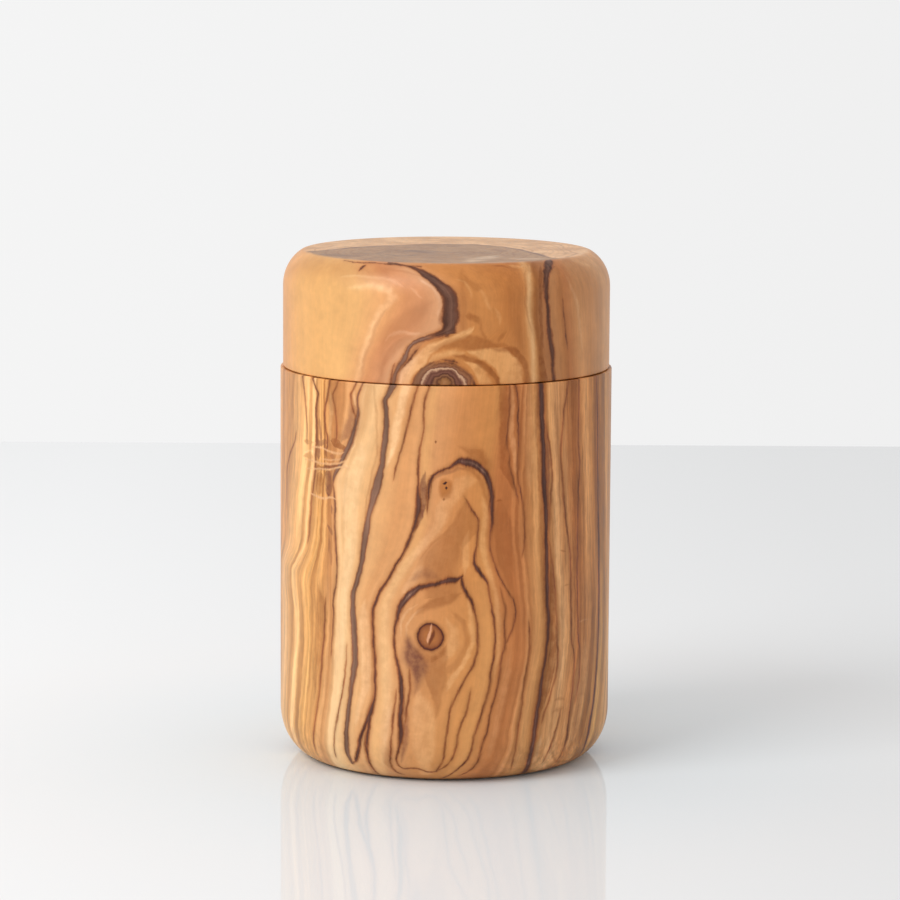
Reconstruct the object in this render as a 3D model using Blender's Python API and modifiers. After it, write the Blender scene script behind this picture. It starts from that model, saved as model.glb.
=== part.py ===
"""Turned wooden spice box: a hollow body with a neck, and a hollow lid that drops over the neck.

Metres, +Z up. The origin is the centre of the flat base, and the turning axis is Z.
"""

import math

import bpy

# Body
BODY_DIAMETER = 0.065
SHOULDER_HEIGHT = 0.077
FLOOR_THICKNESS = 0.008
BASE_ROUND_WIDTH = 0.0072
BASE_ROUND_HEIGHT = 0.0096
FLOOR_CORNER_RADIUS = 0.005

# Neck, the ring that stands above the shoulder and goes up inside the lid
NECK_HEIGHT = 0.009
NECK_WALL = 0.0033
NECK_CLEARANCE = 0.0003

# Lid
LID_SETBACK = 0.0005
LID_RIM_WALL = 0.0034
LID_SEAT_GAP = 0.0003
NECK_TOP_GAP = 0.001
LID_HOLLOW_HEIGHT = 0.006
LID_HOLLOW_CORNER_RADIUS = 0.004
CROWN_THICKNESS = 0.007
CROWN_ARC_WIDTH = 0.0069
CROWN_ARC_HEIGHT = 0.0076
CROWN_ARC_ANGLE = math.radians(65)

# Edges broken with sandpaper, and how finely the turned shapes are faceted
EDGE_ROUND = 0.0004
TURN_STEPS = 72
ARC_STEPS = 7
EDGE_STEPS = 2
MERGE_DISTANCE = 0.00001
SHARP_ANGLE = math.radians(20)

# Finish
WOOD_COLOUR = (0.56, 0.29, 0.115, 1.0)
WOOD_ROUGHNESS = 0.42

# Radii from the outside inwards, so that every fit follows the walls and the clearance
body_radius = BODY_DIAMETER / 2
lid_radius = body_radius - LID_SETBACK
socket_radius = lid_radius - LID_RIM_WALL
neck_radius = socket_radius - NECK_CLEARANCE
bore_radius = neck_radius - NECK_WALL

# Heights from the base upwards
neck_top = SHOULDER_HEIGHT + NECK_HEIGHT
lid_rim_height = SHOULDER_HEIGHT + LID_SEAT_GAP
socket_depth = NECK_HEIGHT + NECK_TOP_GAP - LID_SEAT_GAP
lid_ceiling = socket_depth + LID_HOLLOW_HEIGHT
lid_height = lid_ceiling + CROWN_THICKNESS


def clear_scene():
    for old in list(bpy.data.objects):
        bpy.data.objects.remove(old)


def arc(centre, width, height, start, end, steps):
    """Points on an ellipse arc. Angle 0 is outwards and a quarter turn is up."""
    points = []
    for step in range(steps + 1):
        angle = start + (end - start) * step / steps
        points.append((centre[0] + width * math.cos(angle), centre[1] + height * math.sin(angle)))
    return points


def outer_edge(radius, height, facing):
    """A broken edge on a wall's outer corner, where the wall meets a face that looks up (1) or down (-1)."""
    centre = (radius - EDGE_ROUND, height - facing * EDGE_ROUND)
    if facing > 0:
        return arc(centre, EDGE_ROUND, EDGE_ROUND, math.pi / 2, 0, EDGE_STEPS)
    return arc(centre, EDGE_ROUND, EDGE_ROUND, 0, -math.pi / 2, EDGE_STEPS)


def inner_edge(radius, height, facing):
    """The same on the inner corner, at the mouth of a hole that looks up (1) or down (-1)."""
    centre = (radius + EDGE_ROUND, height - facing * EDGE_ROUND)
    if facing > 0:
        return arc(centre, EDGE_ROUND, EDGE_ROUND, math.pi, math.pi / 2, EDGE_STEPS)
    return arc(centre, EDGE_ROUND, EDGE_ROUND, -math.pi / 2, -math.pi, EDGE_STEPS)


def body_profile():
    """From the middle of the inner floor, up the bore, over the neck and down the outside."""
    floor_corner = min(FLOOR_CORNER_RADIUS, bore_radius)
    corner_centre = (bore_radius - floor_corner, FLOOR_THICKNESS + floor_corner)
    base_centre = (body_radius - BASE_ROUND_WIDTH, BASE_ROUND_HEIGHT)
    points = [(0, FLOOR_THICKNESS)]
    points += arc(corner_centre, floor_corner, floor_corner, -math.pi / 2, 0, ARC_STEPS)
    points += inner_edge(bore_radius, neck_top, 1)
    points += outer_edge(neck_radius, neck_top, 1)
    points += [(neck_radius, SHOULDER_HEIGHT)]
    points += outer_edge(body_radius, SHOULDER_HEIGHT, 1)
    points += arc(base_centre, BASE_ROUND_WIDTH, BASE_ROUND_HEIGHT, 0, -math.pi / 2, ARC_STEPS)
    points += [(0, 0)]
    return points


def lid_profile():
    """From the middle of the top, down the outside, under the rim and up inside, above the rim's plane."""
    arc_foot = lid_height - CROWN_ARC_HEIGHT * math.sin(CROWN_ARC_ANGLE)
    arc_centre = (lid_radius - CROWN_ARC_WIDTH, arc_foot)
    hollow_corner = min(LID_HOLLOW_CORNER_RADIUS, LID_HOLLOW_HEIGHT, bore_radius)
    corner_centre = (bore_radius - hollow_corner, lid_ceiling - hollow_corner)
    points = [(0, lid_height)]
    points += arc(arc_centre, CROWN_ARC_WIDTH, CROWN_ARC_HEIGHT, CROWN_ARC_ANGLE, 0, ARC_STEPS)
    points += outer_edge(lid_radius, 0, -1)
    points += inner_edge(socket_radius, 0, -1)
    points += [(socket_radius, socket_depth), (bore_radius, socket_depth)]
    points += arc(corner_centre, hollow_corner, hollow_corner, 0, math.pi / 2, ARC_STEPS)
    points += [(0, lid_ceiling)]
    return points


def wood_material(name):
    material = bpy.data.materials.new(name)
    material.use_nodes = True
    shader = material.node_tree.nodes["Principled BSDF"]
    shader.inputs["Base Color"].default_value = WOOD_COLOUR
    shader.inputs["Roughness"].default_value = WOOD_ROUGHNESS
    shader.inputs["Metallic"].default_value = 0.0
    return material


def shade_by_angle(piece):
    """Applies the modifiers, then shades the turned faces smooth between their crisp edges."""
    graph = bpy.context.evaluated_depsgraph_get()
    mesh = bpy.data.meshes.new_from_object(piece.evaluated_get(graph))
    profile_mesh = piece.data
    piece.modifiers.clear()
    piece.data = mesh
    bpy.data.meshes.remove(profile_mesh)
    mesh.shade_smooth()
    mesh.set_sharp_from_angle(angle=SHARP_ANGLE)


def turned(name, profile, height, material, collection):
    """A profile turned round Z, with its own origin on the axis at the given height."""
    mesh = bpy.data.meshes.new(name)
    vertices = [(x, 0, z) for x, z in profile]
    edges = [(n, n + 1) for n in range(len(profile) - 1)]
    mesh.from_pydata(vertices, edges, [])
    mesh.materials.append(material)
    piece = bpy.data.objects.new(name, mesh)
    piece.location = (0, 0, height)
    collection.objects.link(piece)
    screw = piece.modifiers.new("turn", "SCREW")
    screw.axis = "Z"
    screw.angle = 2 * math.pi
    screw.steps = TURN_STEPS
    screw.render_steps = TURN_STEPS
    screw.use_merge_vertices = True
    screw.merge_threshold = MERGE_DISTANCE
    shade_by_angle(piece)
    return piece


def main():
    clear_scene()
    spice_box = bpy.data.collections.new("spice_box")
    bpy.context.scene.collection.children.link(spice_box)
    turned("jar_body", body_profile(), 0, wood_material("body_wood"), spice_box)
    turned("lid", lid_profile(), lid_rim_height, wood_material("lid_wood"), spice_box)


main()
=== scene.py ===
import math

import bpy
from mathutils import Matrix, Vector


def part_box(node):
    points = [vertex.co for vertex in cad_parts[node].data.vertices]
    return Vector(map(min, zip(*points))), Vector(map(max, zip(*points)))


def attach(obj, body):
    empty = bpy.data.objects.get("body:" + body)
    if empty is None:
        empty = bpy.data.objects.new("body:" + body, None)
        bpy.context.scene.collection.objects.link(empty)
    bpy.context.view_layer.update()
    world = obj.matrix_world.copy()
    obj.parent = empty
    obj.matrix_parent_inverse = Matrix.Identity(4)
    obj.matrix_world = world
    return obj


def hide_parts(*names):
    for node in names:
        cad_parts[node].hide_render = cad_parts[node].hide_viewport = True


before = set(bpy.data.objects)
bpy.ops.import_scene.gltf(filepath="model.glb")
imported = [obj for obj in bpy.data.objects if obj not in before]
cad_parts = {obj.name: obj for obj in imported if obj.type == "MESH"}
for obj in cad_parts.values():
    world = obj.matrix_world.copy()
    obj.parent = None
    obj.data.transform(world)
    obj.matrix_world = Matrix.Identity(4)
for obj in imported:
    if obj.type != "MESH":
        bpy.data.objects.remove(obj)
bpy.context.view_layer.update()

# The view that the box was photographed from
view = {
    "imageSize": 900,
    "focalPixels": 3910,
    "sensorWidth": 36,                 # mm
    "aimPoint": (0, 0, 0.0504),        # a point on the axis, and the pixel that it falls on
    "aimPixel": (445.6, 499.8),
    "distance": 0.772,
    "elevation": 9.07,                 # degrees
    "roll": 0.33,
    "farthest": 20,                    # metres
}

# How finely both pieces are turned
turning = {
    "segments": 256,
    "arcSteps": 18,
    "edgeSteps": 4,
    "longestRow": 0.0025,
    "longRun": 0.0012,                 # a straight run that is longer than this gets rows
    "supportRow": 0.0003,
    "mergeDistance": 0.00001,
    "sharpAngle": 35,                  # degrees
}

bodyShape = {
    "shoulder": 0.07715,
    "floor": 0.008,
    "baseRoundWidth": 0.0072,
    "baseRoundHeight": 0.0096,
    "floorCorner": 0.005,
    "neckRadius": 0.0283,
    "boreRadius": 0.0250,
    "edgeRound": 0.00022,
}

lidShape = {
    "socketRadius": 0.0286,
    "socketDepth": 0.0097,
    "boreRadius": 0.0250,
    "hollowCorner": 0.004,
    "crownThickness": 0.007,
    "crownWidth": 0.0069,
    "crownHeight": 0.0076,
    "crownAngle": 65,                  # degrees
    "crownSoftness": 0.0006,
    "edgeRound": 0.00022,
}

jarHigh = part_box("jar_body")[1]
lidLow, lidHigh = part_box("lid")
mm = 0.001


def arc(centre, width, height, start, end, steps):
    # Angle 0 points outwards and a quarter turn points up
    angles = [math.radians(start + (end - start) * step / steps) for step in range(steps + 1)]
    return [(centre[0] + width * math.cos(t), centre[1] + height * math.sin(t)) for t in angles]


def softCorner(before, corner, after, size, steps):
    # A sanded corner: a short curve that leaves each side at the given distance from the corner
    corner = Vector(corner)
    start = corner + (Vector(before) - corner).normalized() * size
    end = corner + (Vector(after) - corner).normalized() * size
    points = []
    for step in range(steps + 1):
        t = step / steps
        points.append(tuple(start * (1 - t) ** 2 + corner * 2 * t * (1 - t) + end * t ** 2))
    return points


def bodyProfile():
    # From the middle of the inner floor, up the bore, over the neck, down the outside and under the base
    shape, edge, steps = bodyShape, bodyShape["edgeRound"], turning["edgeSteps"]
    corner, bore, neck = shape["floorCorner"], shape["boreRadius"], shape["neckRadius"]
    radius, shoulder, rim = jarHigh.x, shape["shoulder"], jarHigh.z
    points = [(0, shape["floor"])]
    points += arc((bore - corner, shape["floor"] + corner), corner, corner, -90, 0, turning["arcSteps"])
    points += arc((bore + edge, rim - edge), edge, edge, 180, 90, steps)
    points += arc((neck - edge, rim - edge), edge, edge, 90, 0, steps)
    points += [(neck, shoulder)]
    points += arc((radius - edge, shoulder - edge), edge, edge, 90, 0, steps)
    baseCentre = (radius - shape["baseRoundWidth"], shape["baseRoundHeight"])
    points += arc(baseCentre, shape["baseRoundWidth"], shape["baseRoundHeight"], 0, -90, turning["arcSteps"])
    return points + [(0, 0)]


def lidProfile():
    # From the middle of the top, down the outside, under the rim and up inside
    shape, edge, steps = lidShape, lidShape["edgeRound"], turning["edgeSteps"]
    radius, top, rim = lidHigh.x, lidHigh.z, lidLow.z
    socket, bore, corner = shape["socketRadius"], shape["boreRadius"], shape["hollowCorner"]
    step = rim + shape["socketDepth"]
    ceiling = top - shape["crownThickness"]
    foot = top - shape["crownHeight"] * math.sin(math.radians(shape["crownAngle"]))
    crown = arc((radius - shape["crownWidth"], foot), shape["crownWidth"], shape["crownHeight"],
                shape["crownAngle"], 0, turning["arcSteps"])
    points = [(0, top)]
    points += softCorner((0, top), crown[0], crown[1], shape["crownSoftness"], steps)
    points += [point for point in crown[1:] if point[1] < points[-1][1]]
    points += arc((radius - edge, rim + edge), edge, edge, 0, -90, steps)
    points += arc((socket + edge, rim + edge), edge, edge, 270, 180, steps)
    points += [(socket, step), (bore, step)]
    points += arc((bore - corner, ceiling - corner), corner, corner, 0, 90, turning["arcSteps"])
    return points + [(0, ceiling)]


def closeRows(profile):
    # Long straight runs get rows near both ends, so that shading stays flat, and even rows between
    rows = [profile[0]]
    for start, end in zip(profile, profile[1:]):
        start, end = Vector(start), Vector(end)
        length = (end - start).length
        support = turning["supportRow"]
        if length > turning["longRun"]:
            count = math.ceil((length - 2 * support) / turning["longestRow"])
            distances = [support + (length - 2 * support) * n / count for n in range(count + 1)]
            rows += [tuple(start.lerp(end, distance / length)) for distance in distances]
        rows.append(tuple(end))
    return rows


def turnedPiece(name, profile):
    mesh = bpy.data.meshes.new(name)
    edges = [(n, n + 1) for n in range(len(profile) - 1)]
    mesh.from_pydata([(x, 0, z) for x, z in profile], edges, [])
    piece = bpy.data.objects.new(name, mesh)
    bpy.context.scene.collection.objects.link(piece)
    screw = piece.modifiers.new("turn", "SCREW")
    screw.axis = "Z"
    screw.angle = 2 * math.pi
    screw.steps = turning["segments"]
    screw.render_steps = turning["segments"]
    screw.use_merge_vertices = True
    screw.merge_threshold = turning["mergeDistance"]
    graph = bpy.context.evaluated_depsgraph_get()
    turned = bpy.data.meshes.new_from_object(piece.evaluated_get(graph))
    piece.modifiers.clear()
    piece.data = turned
    bpy.data.meshes.remove(mesh)
    turned.shade_smooth()
    turned.set_sharp_from_angle(angle=math.radians(turning["sharpAngle"]))
    return piece


jarBody = turnedPiece("turnedBody", closeRows(bodyProfile()))
lid = turnedPiece("turnedLid", closeRows(lidProfile()))
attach(jarBody, "body")
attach(lid, "lid")
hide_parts("jar_body")
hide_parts("lid")
print("turned the body and the lid:", len(jarBody.data.vertices) + len(lid.data.vertices), "points")


def cameraPlace():
    # The camera stands back from the aim point and turns until that point falls on its pixel
    elevation = math.radians(view["elevation"])
    back = Vector((0, -math.cos(elevation), math.sin(elevation)))
    eye = Vector(view["aimPoint"]) + back * view["distance"]
    middle = view["imageSize"] / 2
    pitch = elevation - math.atan((view["aimPixel"][1] - middle) / view["focalPixels"])
    yaw = math.atan((view["aimPixel"][0] - middle) / view["focalPixels"])
    turn = Matrix.Rotation(yaw, 4, "Z") @ Matrix.Rotation(math.pi / 2 - pitch, 4, "X")
    turn = turn @ Matrix.Rotation(math.radians(view["roll"]), 4, "Z")
    return Matrix.Translation(eye) @ turn


def addCamera():
    data = bpy.data.cameras.new("camera")
    data.sensor_width = view["sensorWidth"]
    data.lens = view["focalPixels"] / view["imageSize"] * view["sensorWidth"]
    data.clip_end = view["farthest"]
    camera = bpy.data.objects.new("camera", data)
    camera.matrix_world = cameraPlace()
    bpy.context.scene.collection.objects.link(camera)
    bpy.context.scene.camera = camera


addCamera()
print("placed the camera")


def hexColour(text):
    # An sRGB hex value as the linear colour that the shader works with
    channels = [int(text[n:n + 2], 16) / 255 for n in (1, 3, 5)]
    linear = [c / 12.92 if c <= 0.04045 else ((c + 0.055) / 1.055) ** 2.4 for c in channels]
    return (*linear, 1.0)


def addNode(tree, kind, inputs, curve=None, stops=None, output=0, **settings):
    # Inputs are numbers, colours or other nodes' sockets. The socket that is asked for comes back.
    node = tree.nodes.new("ShaderNode" + kind)
    for name, value in settings.items():
        setattr(node, name, value)
    if curve:
        points = node.mapping.curves[0].points
        while len(points) < len(curve):
            points.new(0.5, 0.5)
        for point, (across, value) in zip(points, curve):
            point.location = (across, value)
            point.handle_type = "AUTO_CLAMPED"
        node.mapping.use_clip = False
        node.mapping.update()
    if stops:
        elements = node.color_ramp.elements
        while len(elements) < len(stops):
            elements.new(1.0)
        for element, (position, colour, *share) in zip(elements, stops):
            element.position = position
            element.color = (*hexColour(colour)[:3], *(share or [1.0]))
    for key, value in inputs.items():
        if isinstance(value, bpy.types.NodeSocket):
            tree.links.new(value, node.inputs[key])
        else:
            node.inputs[key].default_value = hexColour(value) if isinstance(value, str) else value
    return node.outputs[output] if node.outputs else None


# The figure is laid out on the unrolled outside of a piece: around is the distance from the front along
# the surface, and up is the height, carried on over the crown and under the base. Both are in mm and are
# divided by the span, so that they fit the curve nodes.
layout = {
    "span": 90.0,
    "veinJitter": 0.2,                 # how far a vein wanders from its drawn line
    "veinLength": 3.0,
    "patchJitter": 0.5,
    "patchLength": 5.0,
    "noiseRange": 4,                   # noise keeps near its middle, so its whole range is this many jitters
    "bluntEnd": 4.0,                   # how far a vein that leaves the piece runs on
    "pointedEnd": 1.0,
    "cutOff": 0.3,
    "noWidth": -1.0,
    "steepest": 1.8,
    "leastStep": 0.01,
    "veinOutside": 1.0,                # a vein's tones run from this far outside its edge
    "veinInside": 1.5,                 # to this far inside it
}


def pieceRadius(piece):
    return max(corner[0] for corner in piece.bound_box) / mm


def sightPoint(piece, pixel):
    # Where the sight line through a pixel of the view meets the piece, in mm
    place = cameraPlace()
    middle = view["imageSize"] / 2
    ray = Vector((pixel[0] - middle, middle - pixel[1], -view["focalPixels"]))
    hit, point, normal, face = piece.ray_cast(place.translation, (place.to_3x3() @ ray).normalized())
    if not hit:
        raise ValueError(f"no wood at pixel {pixel[0]}, {pixel[1]}")
    return point / mm


def laidOut(piece, wood, pixels):
    # Pixels as (around, up) on the unrolled piece. A third number, the width, goes along.
    radius = pieceRadius(piece)
    places = []
    for pixel in pixels:
        point = sightPoint(piece, pixel)
        reach = math.hypot(point.x, point.y)
        around = math.atan2(point.x, -point.y) * radius
        places.append((around, point.z + wood["turn"] * (radius - reach), *pixel[2:]))
    return places


def laidFlat(piece, pixels):
    # Pixels on the flat top as (right, back) in mm, with the width
    points = [sightPoint(piece, pixel) for pixel in pixels]
    return [(point.x, point.y, *pixel[2:]) for point, pixel in zip(points, pixels)]


def splitRuns(points):
    # A run goes steadily along the grain or steadily across it, so that a curve node can hold it
    runs = []
    for start, end in zip(points, points[1:]):
        around, up = end[0] - start[0], end[1] - start[1]
        along = abs(up) >= abs(around)
        heading = (along, (up if along else around) > 0)
        if runs and runs[-1][0] == heading:
            runs[-1][1].append(end)
        else:
            runs.append((heading, [start, end]))
    return [(heading[0], run) for heading, run in runs]


def stretchEnd(point, neighbour, distance, width):
    # A point past the end of a run, straight on
    away = Vector((point[0] - neighbour[0], point[1] - neighbour[1])).normalized() * distance
    return (point[0] + away.x, point[1] + away.y, width)


def strokeCurves(points, softness):
    # The place and the half width of each run of a stroke, as points for two curve nodes
    curves = []
    taper, noWidth = layout["pointedEnd"] + softness / 2, layout["noWidth"] - softness
    runs = splitRuns(points)
    closed = points[0][:2] == points[-1][:2]
    for number, (along, run) in enumerate(runs):
        first, last = number == 0 and not closed, number == len(runs) - 1 and not closed
        for outer in (first, last):
            tip, neighbour = run[0], run[1]
            if outer and tip[2] == 0:
                run.insert(0, stretchEnd(tip, neighbour, taper, noWidth))
            else:
                reach = layout["bluntEnd"] if outer else tip[2] / 2
                run.insert(0, stretchEnd(tip, neighbour, reach, tip[2]))
                run.insert(0, stretchEnd(tip, neighbour, reach + layout["cutOff"], noWidth))
            run.reverse()
        main, side = (1, 0) if along else (0, 1)
        run.sort(key=lambda point: point[main])
        place, width = [], []
        for n, point in enumerate(run):
            before, after = run[max(n - 1, 0)], run[min(n + 1, len(run) - 1)]
            slope = (after[side] - before[side]) / max(after[main] - before[main], layout["leastStep"])
            lean = min(math.hypot(1, slope), layout["steepest"])
            place.append((point[main], point[side]))
            width.append((point[main], point[2] / 2 * lean))
        curves.append((along, place, width))
    return curves


def strokeDepth(tree, at, points, softness=0.0):
    # How deep inside a stroke a place lies, in spans from 0.5: half the stroke's width in its middle, 0.5 at
    # its edge and less outside
    span, deepest = layout["span"], None
    for along, place, width in strokeCurves(points, softness):
        main, side = (at["up"], at["across"]) if along else (at["across"], at["up"])
        mainZero, sideZero = (at["low"], -span / 2) if along else (-span / 2, at["low"])
        placeCurve = [((m - mainZero) / span, (s - sideZero) / span) for m, s in place]
        widthCurve = [((m - mainZero) / span, 0.5 + half / span) for m, half in width]
        middle = addNode(tree, "FloatCurve", {"Value": main}, curve=placeCurve)
        distance = addNode(tree, "Math", {0: side, 1: middle}, operation="SUBTRACT")
        distance = addNode(tree, "Math", {0: distance}, operation="ABSOLUTE")
        half = addNode(tree, "FloatCurve", {"Value": main}, curve=widthCurve)
        depth = addNode(tree, "Math", {0: half, 1: distance}, operation="SUBTRACT")
        deepest = depth if deepest is None else addNode(
            tree, "Math", {0: deepest, 1: depth}, operation="MAXIMUM")
    return deepest


def patchShare(tree, at, patches):
    # The strongest of all the patches at each place, from 0 to 1
    strongest = None
    for strength, softness, points in patches.values():
        soft = softness / layout["span"]
        share = addNode(tree, "MapRange", {
            "Value": strokeDepth(tree, at, at["laid"](points), softness),
            "From Min": 0.5 - soft / 2, "From Max": 0.5 + soft / 2, "To Min": 0.0, "To Max": strength,
        }, interpolation_type="SMOOTHSTEP")
        strongest = share if strongest is None else addNode(
            tree, "Math", {0: strongest, 1: share}, operation="MAXIMUM")
    return strongest


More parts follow.
